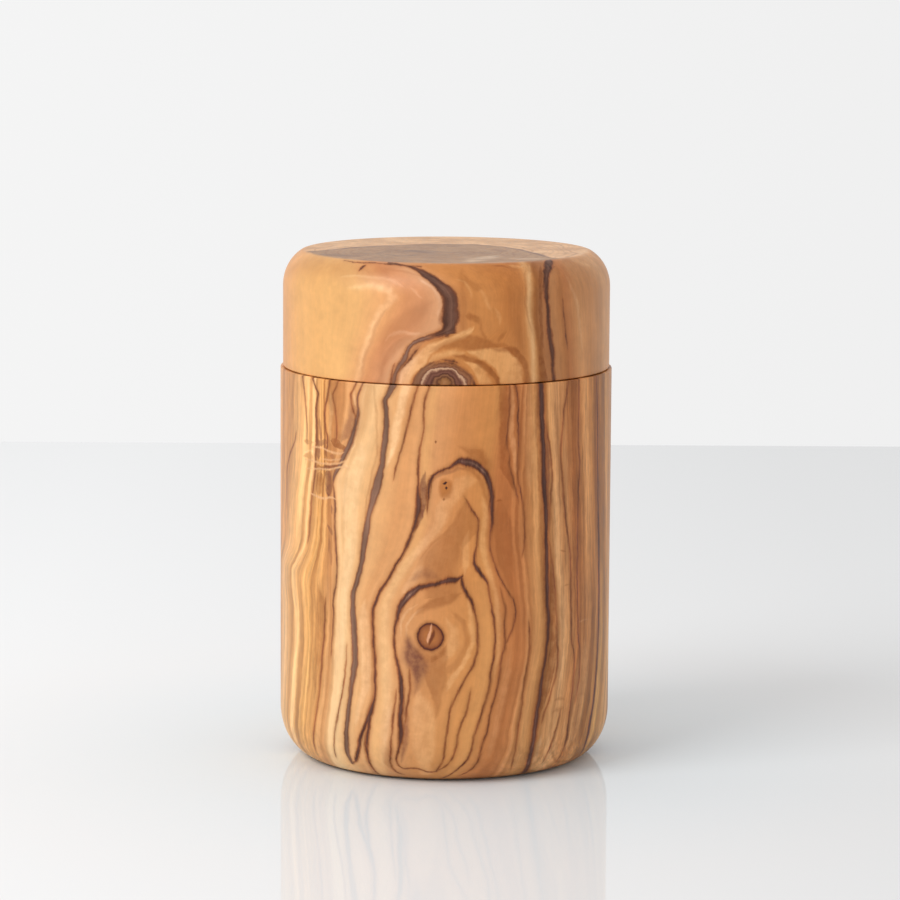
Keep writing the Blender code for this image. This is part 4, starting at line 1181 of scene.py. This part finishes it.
def pulledStraight(tree, piece, wood, at, lines):
    # The same block with its grain pulled straight, where stripes, bands, streaks and rings are looked up
    span, low, radius = layout["span"], wood["low"], pieceRadius(piece)
    back = math.pi * radius / span
    rests, courses = [0.5 - back], [0.5 - back]
    for rest, course in lines:
        rests.append(0.5 + rest / span)
        courses.append(addNode(tree, "FloatCurve", {"Value": at["side"]["up"]}, curve=[
            ((up - low) / span, 0.5 + around / span) for up, around in course]))
    rests.append(0.5 + back)
    courses.append(0.5 + back)
    straight = rests[0]
    for n in range(len(rests) - 1):
        part = addNode(tree, "MapRange", {
            "Value": at["side"]["across"], "From Min": courses[n], "From Max": courses[n + 1],
            "To Min": 0.0, "To Max": rests[n + 1] - rests[n],
        })
        straight = addNode(tree, "Math", {0: part, 1: straight}, operation="ADD")
    turn = span / radius
    angle = addNode(tree, "Math", {0: straight, 1: turn, 2: -0.5 * turn}, operation="MULTIPLY_ADD")
    sine = addNode(tree, "Math", {0: angle}, operation="SINE")
    cosine = addNode(tree, "Math", {0: angle}, operation="COSINE")
    x = addNode(tree, "Math", {0: sine, 1: at["reach"]}, operation="MULTIPLY")
    y = addNode(tree, "Math", {0: cosine, 1: at["reach"]}, operation="MULTIPLY")
    y = addNode(tree, "Math", {0: y, 1: -1.0}, operation="MULTIPLY")
    z = addNode(tree, "Math", {0: at["height"], 1: grain["stretch"]}, operation="MULTIPLY")
    at["straight"] = straight
    at["board"] = addNode(tree, "CombineXYZ", {"X": x, "Y": y, "Z": z})
    for name, where, size in (("streak", "board", "streakWidth"), ("fibre", "board", "fibreWidth"),
                              ("mottle", "place", "mottleSize"), ("cloud", "place", "sheenCloudSize")):
        at[name] = addNode(tree, "TexNoise", {
            "Vector": at[where], "Scale": 1 / grain[size], **noiseKinds[name]})


def shifted(tree, colour, share, gain):
    # The same wood, paler or browner: red, green and blue are each multiplied where the share is 1
    changed = addNode(tree, "VectorMath", {0: colour, 1: gain}, operation="MULTIPLY")
    return addNode(tree, "Mix", {0: share, 6: colour, 7: changed}, data_type="RGBA", output=2)


def sideColour(tree, piece, wood, at, lines):
    # The tint round the piece, its narrow stripes, and the patches that are paler, browner or stained purple
    row = wood["tintRow"]
    stops = [(straightPlace(piece, wood, lines, (column, row)), tint) for column, tint in wood["tints"]]
    colour = addNode(tree, "ValToRGB", {"Fac": at["straight"]}, stops=[
        (0.0, woodColours["back"]), *stops, (1.0, woodColours["back"])])
    tones, rows = [], []
    for name, row in zip(("upperStripes", "lowerStripes"), wood["stripeRows"]):
        rows.append((laidOut(piece, wood, [(view["aimPixel"][0], row)])[0][1] - wood["low"]) / layout["span"])
        tones.append(addNode(tree, "FloatCurve", {"Value": at["straight"]}, curve=[
            (straightPlace(piece, wood, lines, (column, row)), tone) for column, tone in wood[name]]))
    low = addNode(tree, "MapRange", {
        "Value": at["side"]["up"], "From Min": rows[0], "From Max": rows[1], "To Min": 0.0, "To Max": 1.0},
        interpolation_type="SMOOTHSTEP")
    tone = addNode(tree, "Mix", {0: low, 2: tones[0], 3: tones[1]})
    plain = grain["plainTone"]
    tone = addNode(tree, "Mix", {0: at["unseen"], 2: tone, 3: plain})
    stripes = {
        "lights": addNode(tree, "MapRange", {
            "Value": tone, "From Min": plain, "From Max": 1.0,
            "To Min": 0.0, "To Max": grain["paleStripe"]}),
        "shades": addNode(tree, "MapRange", {
            "Value": tone, "From Min": plain, "From Max": 0.0,
            "To Min": 0.0, "To Max": grain["brownStripe"]}),
    }
    uneven = addNode(tree, "MapRange", {
        "Value": at["mottle"], "From Min": grain["patchFrom"][0], "From Max": grain["patchFrom"][1],
        "To Min": grain["patchTone"][0], "To Max": grain["patchTone"][1]})
    foot = addNode(tree, "MapRange", {
        "Value": at["side"]["up"], "From Min": rows[0], "From Max": 2 * rows[1] - rows[0],
        "To Min": 0.0, "To Max": 1.0})
    colour = shifted(tree, colour, foot, wood["footGain"])
    shares = {}
    for kind in ("lights", "shades", "stains"):
        share = patchShare(tree, at["loose"], wood[kind])
        shares[kind] = addNode(tree, "Math", {0: share, 1: uneven}, operation="MULTIPLY")
    stripes["lights"] = addNode(tree, "Math", {
        0: stripes["lights"], 1: shares["lights"]}, operation="SUBTRACT")
    stripes["lights"] = addNode(tree, "Math", {0: stripes["lights"], 1: 0.0}, operation="MAXIMUM")
    shares["shades"] = addNode(tree, "Math", {0: shares["shades"], 1: stripes["shades"]}, operation="MAXIMUM")
    colour = shifted(tree, colour, stripes["lights"], woodColours["paler"])
    colour = shifted(tree, colour, shares["lights"], woodColours["palePatch"])
    colour = shifted(tree, colour, shares["shades"], woodColours["browner"])
    return addNode(tree, "Mix", {
        0: shares["stains"], 6: colour, 7: woodColours["stain"]}, data_type="RGBA", output=2)


def endColour(tree, wood, at, pith, outline):
    # End grain: pale sapwood round the brown heart, with a dark line between them and the pith in the middle.
    # The growth rings' distance from the pith goes along, with its swings.
    away = addNode(tree, "VectorMath", {0: at["board"], 1: (pith.x, pith.y, 0)}, operation="SUBTRACT")
    across = addNode(tree, "SeparateXYZ", {0: away})
    back = across.node.outputs[1]
    level = addNode(tree, "CombineXYZ", {"X": across, "Y": back})
    distance = addNode(tree, "VectorMath", {0: level}, operation="LENGTH", output="Value")
    wander = addNode(tree, "TexNoise", {
        "Vector": at["board"], "Scale": 1 / grain["ringWave"], **noiseKinds["ringWave"]})
    at["ringDistance"] = addNode(tree, "Math", {
        0: wander, 1: 2 * grain["ringWander"], 2: distance}, operation="MULTIPLY_ADD")
    left = addNode(tree, "Math", {0: across, 1: -1.0}, operation="MULTIPLY")
    angle = addNode(tree, "Math", {0: left, 1: back}, operation="ARCTAN2")
    angle = addNode(tree, "Math", {0: angle, 1: 0.5 / math.pi, 2: 0.5}, operation="MULTIPLY_ADD")
    edge = addNode(tree, "FloatCurve", {"Value": angle}, curve=outline)
    edge = addNode(tree, "Math", {0: edge, 1: heart["reach"]}, operation="MULTIPLY")
    ripple = addNode(tree, "TexNoise", {
        "Vector": at["board"], "Scale": 1 / heart["rippleLength"], **noiseKinds["ripple"]})
    ripple = addNode(tree, "Math", {
        0: ripple, 1: 2 * heart["ripple"], 2: -heart["ripple"]}, operation="MULTIPLY_ADD")
    edge = addNode(tree, "Math", {0: edge, 1: ripple}, operation="ADD")
    inside = addNode(tree, "Math", {0: edge, 1: distance}, operation="SUBTRACT")
    fadeStart, fadeEnd = wood["heartFade"]
    share = addNode(tree, "MapRange", {
        "Value": inside, "From Min": fadeStart, "From Max": fadeEnd, "To Min": 0.0, "To Max": 1.0})
    colour = addNode(tree, "Mix", {
        0: share, 6: woodColours["sapwood"], 7: woodColours["heartwood"]}, data_type="RGBA", output=2)
    edgeLine = addNode(tree, "Math", {0: inside}, operation="ABSOLUTE")
    for value, (start, end), strength in ((edgeLine, heart["edgeSoft"], wood["heartEdge"]),
                                          (distance, heart["pithSoft"], heart["pithShare"])):
        line = addNode(tree, "MapRange", {
            "Value": value, "From Min": start, "From Max": end, "To Min": strength, "To Max": 0.0},
            interpolation_type="SMOOTHSTEP")
        colour = addNode(tree, "Mix", {
            0: line, 6: colour, 7: woodColours["heartLine"]}, data_type="RGBA", output=2)
    return colour


def topMarks(tree, at, colour):
    # The streaks and the pale patch that the lid's top shows
    for kind, tint in (("darkStreaks", "heartStreak"), ("palePatches", "heartPale")):
        share = patchShare(tree, at["top"], heart[kind])
        colour = addNode(tree, "Mix", {0: share, 6: colour, 7: woodColours[tint]}, data_type="RGBA", output=2)
    return colour


def onView(tree, at, places, elsewhere):
    # A strength along the straightened grain as the view shows it, and one value round the back and on the
    # end grain
    strength = addNode(tree, "FloatCurve", {"Value": at["straight"]}, curve=[
        (0.5 + around / layout["span"], share) for around, share in places])
    return addNode(tree, "Mix", {0: at["unseen"], 2: strength, 3: elsewhere})


def bandsAndRings(tree, wood, at, colour):
    # Soft brown bands and thin growth rings, strong where the wood isn't plain
    lively = onView(tree, at, wood["plainness"], grain["backBands"])
    band = addNode(tree, "TexNoise", {
        "Vector": at["board"], "Scale": 1 / grain["bandWidth"], **noiseKinds["band"]})
    for (start, end), gain in ((grain["brownBand"], "browner"), (grain["paleBand"], "paler")):
        share = addNode(tree, "MapRange", {
            "Value": band, "From Min": start, "From Max": end, "To Min": 0.0, "To Max": grain["bandShare"]})
        share = addNode(tree, "Math", {0: share, 1: lively}, operation="MULTIPLY")
        colour = shifted(tree, colour, share, woodColours[gain])
    ring = addNode(tree, "Math", {0: at["ringDistance"], 1: grain["ringSpacing"]}, operation="DIVIDE")
    number = addNode(tree, "Math", {0: ring}, operation="ROUND")
    off = addNode(tree, "Math", {0: ring, 1: number}, operation="SUBTRACT")
    off = addNode(tree, "Math", {0: off}, operation="ABSOLUTE")
    line = addNode(tree, "MapRange", {
        "Value": off, "From Min": 0.0, "From Max": grain["ringWidth"], "To Min": 1.0, "To Max": 0.0},
        interpolation_type="SMOOTHSTEP")
    chance = addNode(tree, "TexWhiteNoise", {"W": number}, noise_dimensions="1D")
    line = addNode(tree, "Math", {0: line, 1: chance}, operation="MULTIPLY")
    strength = onView(tree, at, wood["ringStrength"], grain["backRings"])
    line = addNode(tree, "Math", {0: line, 1: strength}, operation="MULTIPLY")
    at["lively"] = lively
    return addNode(tree, "Mix", {0: line, 6: colour, 7: woodColours["ringLine"]}, data_type="RGBA", output=2)


def addVeins(tree, wood, at, colour, veins, tones):
    # A vein stains the wood beside it brown, is dark just inside its edges and greyer in the middle of the
    # widest places. The tones' places run from just outside its edge (0) to well inside (1).
    deepest = None
    for points in veins.values():
        depth = strokeDepth(tree, at["side"], at["side"]["laid"](points))
        deepest = depth if deepest is None else addNode(
            tree, "Math", {0: deepest, 1: depth}, operation="MAXIMUM")
    span, reach = layout["span"], layout["veinOutside"] + layout["veinInside"]
    depth = addNode(tree, "Math", {
        0: deepest, 1: span / reach, 2: (layout["veinOutside"] - span / 2) / reach}, operation="MULTIPLY_ADD")
    for noise, swing in ((at["fibre"], grain["veinFray"]), (at["mottle"], wood["ragged"])):
        uneven = addNode(tree, "Math", {0: noise, 1: 0.5}, operation="SUBTRACT")
        depth = addNode(tree, "Math", {0: uneven, 1: swing / reach, 2: depth}, operation="MULTIPLY_ADD")
    tone = addNode(tree, "ValToRGB", {"Fac": depth}, stops=tones)
    share = addNode(tree, "Math", {0: tone.node.outputs["Alpha"], 1: at["onSide"]}, operation="MULTIPLY")
    hatch = addNode(tree, "MapRange", {
        "Value": at["streak"], "From Min": grain["hatchFrom"][0], "From Max": grain["hatchFrom"][1],
        "To Min": grain["hatchTone"][0], "To Max": grain["hatchTone"][1]})
    tone = addNode(tree, "VectorMath", {0: tone, "Scale": hatch}, operation="SCALE")
    return addNode(tree, "Mix", {0: share, 6: colour, 7: tone}, data_type="RGBA", output=2)


def addKnot(tree, wood, knot, at, colour):
    # Rings round a point of the unrolled piece. The stops run from the middle to the knot's radius.
    centre = at["side"]["laid"]([knot["pixel"]])[0]
    wobble = addNode(tree, "VectorMath", {0: at["side"]["shake"], 1: (-0.5, -0.5, -0.5)}, operation="ADD")
    wobble = addNode(tree, "VectorMath", {0: wobble, "Scale": knot["wobble"]}, operation="SCALE")
    flat = addNode(tree, "CombineXYZ", {"X": at["around"], "Y": at["upMm"]})
    flat = addNode(tree, "VectorMath", {0: flat, 1: wobble}, operation="ADD")
    away = addNode(tree, "VectorMath", {0: flat, 1: (*centre, 0)}, operation="SUBTRACT")
    away = addNode(tree, "VectorMath", {
        0: away, 1: (1 / knot["size"][0], 1 / knot["size"][1], 0)}, operation="MULTIPLY")
    out = addNode(tree, "VectorMath", {0: away}, operation="LENGTH", output="Value")
    tone = addNode(tree, "ValToRGB", {"Fac": out}, stops=knot["rings"])
    share = addNode(tree, "Math", {0: tone.node.outputs["Alpha"], 1: at["onSide"]}, operation="MULTIPLY")
    return addNode(tree, "Mix", {0: share, 6: colour, 7: tone}, data_type="RGBA", output=2)


def satinSurface(tree, at, colour):
    # Fibres and a painted sheen: a fine unevenness of colour, gloss and surface, as sanded and oiled wood
    # has, with soft clouds of sheen painted into the colour
    streaks = addNode(tree, "Math", {0: at["lively"], 1: grain["streakTone"]}, operation="MULTIPLY")
    fibres = addNode(tree, "Math", {0: at["lively"], 1: grain["fibreTone"]}, operation="MULTIPLY")
    tone = 1.0
    for name, amount in (("streak", streaks), ("fibre", fibres), ("mottle", grain["mottleTone"]),
                         ("cloud", grain["sheenCloudTone"])):
        swing = addNode(tree, "Math", {0: at[name], 1: 0.5}, operation="SUBTRACT")
        tone = addNode(tree, "Math", {0: swing, 1: amount, 2: tone}, operation="MULTIPLY_ADD")
    colour = addNode(tree, "VectorMath", {0: colour, "Scale": tone}, operation="SCALE")
    colour = addNode(tree, "VectorMath", {
        0: colour, 1: grain["oilDepth"], 2: grain["sheenLoss"]}, operation="MULTIPLY_ADD")
    gloss = addNode(tree, "MapRange", {
        "Value": at["fibre"], "From Min": grain["glossFrom"][0], "From Max": grain["glossFrom"][1],
        "To Min": grain["roughness"] - grain["roughnessRange"],
        "To Max": grain["roughness"] + grain["roughnessRange"]})
    relief = addNode(tree, "Bump", {
        "Height": at["fibre"], "Distance": grain["fibreRelief"] * mm, "Strength": 1.0}, output="Normal")
    return addNode(tree, "BsdfPrincipled", {
        "Base Color": colour, "Roughness": gloss, "Normal": relief, "IOR": grain["ior"],
        "Specular IOR Level": grain["gloss"]})


def oliveWood(name, piece, wood):
    material = bpy.data.materials.new(name)
    material.use_nodes = True
    tree = material.node_tree
    tree.nodes.clear()
    lines = flowLines(piece, wood)
    pith, outline = heartOutline()
    at = unrolled(tree, piece, wood)
    pulledStraight(tree, piece, wood, at, lines)
    endStart, endFull = heart["endGrainFrom"]
    endGrain = addNode(tree, "MapRange", {
        "Value": at["reach"], "From Min": endFull, "From Max": endStart, "To Min": 1.0, "To Max": 0.0})
    at["onSide"] = addNode(tree, "Math", {0: 1.0, 1: endGrain}, operation="SUBTRACT")
    turnedAway = addNode(tree, "Math", {0: at["around"]}, operation="ABSOLUTE")
    turnedAway = addNode(tree, "MapRange", {
        "Value": turnedAway, "From Min": grain["viewEnd"], "From Max": grain["backStart"]},
        interpolation_type="SMOOTHSTEP")
    at["unseen"] = addNode(tree, "Math", {0: turnedAway, 1: endGrain}, operation="MAXIMUM")
    colour = sideColour(tree, piece, wood, at, lines)
    end = endColour(tree, wood, at, pith, outline)
    if piece == lid:
        end = topMarks(tree, at, end)
    colour = addNode(tree, "Mix", {0: endGrain, 6: colour, 7: end}, data_type="RGBA", output=2)
    colour = bandsAndRings(tree, wood, at, colour)
    # Veins on the lit left side are paler, partly painted light
    colour = addVeins(tree, wood, at, colour, wood["paleLitVeins"], woodColours["paleLitVein"])
    colour = addVeins(tree, wood, at, colour, wood["veins"], wood["veinTones"])
    for knot in wood["knots"].values():
        colour = addKnot(tree, wood, knot, at, colour)
    for tone, *patch in wood["details"].values():
        share = patchShare(tree, at["side"], {"detail": patch})
        colour = addNode(tree, "Mix", {0: share, 6: colour, 7: tone}, data_type="RGBA", output=2)
    shader = satinSurface(tree, at, colour)
    addNode(tree, "OutputMaterial", {"Surface": shader})
    return material


bodyMaterial = oliveWood("oliveWoodBody", jarBody, bodyWood)
lidMaterial = oliveWood("oliveWoodLid", lid, lidWood)
jarBody.data.materials.append(bodyMaterial)
lid.data.materials.append(lidMaterial)
print("made the olive wood:", len(bodyMaterial.node_tree.nodes), "and",
      len(lidMaterial.node_tree.nodes), "nodes")

# A plain, pale, polished floor, which ends behind the box. The pale backdrop beyond it is the world's colour.
stage = {
    "width": 3.0,
    "front": -1.2,
    "back": 0.424,
    # Painted shadow: the floor is darker to the right, where the box's shadow falls wide and soft
    "floorLeft": "#f4f4f4",
    "floorShadedRight": "#e5e5e5",
    "floorSwing": 0.1,                # the floor's colour turns from one to the other between these places
    "nearBox": (0.93, 0.997, 1.03),   # evens out the warm light that the wood throws on the floor
    "nearFrom": 0.11,
    "nearTo": 0.03,
    "farGain": (1.045, 1.045, 1.045),  # the far part of the floor is a little paler, from here to there
    "farFrom": -0.03,
    "farFull": 0.08,
    "mirror": 0.75,
    "mirrorIor": 1.3,
    "mirrorColour": "#eff1f3",
    "mirrorRoughness": 0.03,
    # Painted light and shade: the backdrop is paler to the left, where the light comes from, and darker to
    # the right
    "backdropLitLeft": "#f9f9f9",
    "backdropShadedRight": "#ebebeb",
    "backdropSwing": 0.35,            # the backdrop's colour turns between these directions
}

lamps = {
    "worldColour": "#ffffff",
    "worldStrength": 0.76,
    "keyPlace": (-0.9, -0.75, 0.95),
    "keySize": 0.8,
    "keyPower": 10.5,
    "target": (0, 0, 0.05),
}


def addFloor():
    half, front, back = stage["width"] / 2, stage["front"], stage["back"]
    mesh = bpy.data.meshes.new("floor")
    corners = [(-half, front, 0), (half, front, 0), (half, back, 0), (-half, back, 0)]
    mesh.from_pydata(corners, [], [(0, 1, 2, 3)])
    floor = bpy.data.objects.new("floor", mesh)
    bpy.context.scene.collection.objects.link(floor)
    # Polished white: a matt colour with a faint clear reflection, which grows towards the far edge
    material = bpy.data.materials.new("polishedFloor")
    material.use_nodes = True
    tree = material.node_tree
    tree.nodes.clear()
    place = addNode(tree, "TexCoord", {}, output="Object")
    across = addNode(tree, "SeparateXYZ", {0: place})
    # Painted shadow: the colour darkens to the right, where the box's shadow falls
    turn = addNode(tree, "MapRange", {
        "Value": across, "From Min": -stage["floorSwing"], "From Max": stage["floorSwing"]})
    colour = addNode(tree, "Mix", {
        0: turn, 6: stage["floorLeft"], 7: stage["floorShadedRight"]}, data_type="RGBA", output=2)
    far = addNode(tree, "MapRange", {
        "Value": across.node.outputs["Y"], "From Min": stage["farFrom"], "From Max": stage["farFull"]})
    colour = shifted(tree, colour, far, stage["farGain"])
    away = addNode(tree, "VectorMath", {0: place}, operation="LENGTH", output="Value")
    near = addNode(tree, "MapRange", {
        "Value": away, "From Min": stage["nearFrom"], "From Max": stage["nearTo"]},
        interpolation_type="SMOOTHSTEP")
    matt = addNode(tree, "BsdfDiffuse", {"Color": shifted(tree, colour, near, stage["nearBox"])})
    mirror = addNode(tree, "BsdfGlossy", {
        "Color": stage["mirrorColour"], "Roughness": stage["mirrorRoughness"]})
    share = addNode(tree, "Fresnel", {"IOR": stage["mirrorIor"]})
    share = addNode(tree, "Math", {0: share, 1: stage["mirror"]}, operation="MULTIPLY")
    surface = addNode(tree, "MixShader", {0: share, 1: matt, 2: mirror})
    addNode(tree, "OutputMaterial", {"Surface": surface})
    mesh.materials.append(material)


def addLight():
    # Camera, mirror and glass rays meet the pale backdrop, and everything else is lit by plain white
    world = bpy.data.worlds.new("paleBackdrop")
    bpy.context.scene.world = world
    world.use_nodes = True
    tree = world.node_tree
    tree.nodes.clear()
    across = addNode(tree, "SeparateXYZ", {0: addNode(tree, "TexCoord", {}, output="Generated")})
    # Painted light and shade: the backdrop turns from paler on the left to darker on the right
    turn = addNode(tree, "MapRange", {
        "Value": across, "From Min": -stage["backdropSwing"], "From Max": stage["backdropSwing"]})
    backdrop = addNode(tree, "Mix", {
        0: turn, 6: stage["backdropLitLeft"], 7: stage["backdropShadedRight"]}, data_type="RGBA", output=2)
    backdrop = addNode(tree, "Background", {"Color": backdrop, "Strength": 1.0})
    sky = addNode(tree, "Background", {"Color": lamps["worldColour"], "Strength": lamps["worldStrength"]})
    path = addNode(tree, "LightPath", {}, output="Is Camera Ray")
    seen = addNode(tree, "Math", {0: path, 1: path.node.outputs["Is Glossy Ray"]}, operation="MAXIMUM")
    seen = addNode(tree, "Math", {0: seen, 1: path.node.outputs["Is Transmission Ray"]}, operation="MAXIMUM")
    addNode(tree, "OutputWorld", {"Surface": addNode(tree, "MixShader", {0: seen, 1: sky, 2: backdrop})})
    data = bpy.data.lights.new("softKey", "AREA")
    data.shape = "SQUARE"
    data.size = lamps["keySize"]
    data.energy = lamps["keyPower"]
    key = bpy.data.objects.new("softKey", data)
    key.location = lamps["keyPlace"]
    key.rotation_euler = (Vector(lamps["target"]) - key.location).to_track_quat("-Z", "Y").to_euler()
    bpy.context.scene.collection.objects.link(key)


addFloor()
addLight()
bpy.context.scene.view_settings.view_transform = "Standard"
print("set the floor and the light")
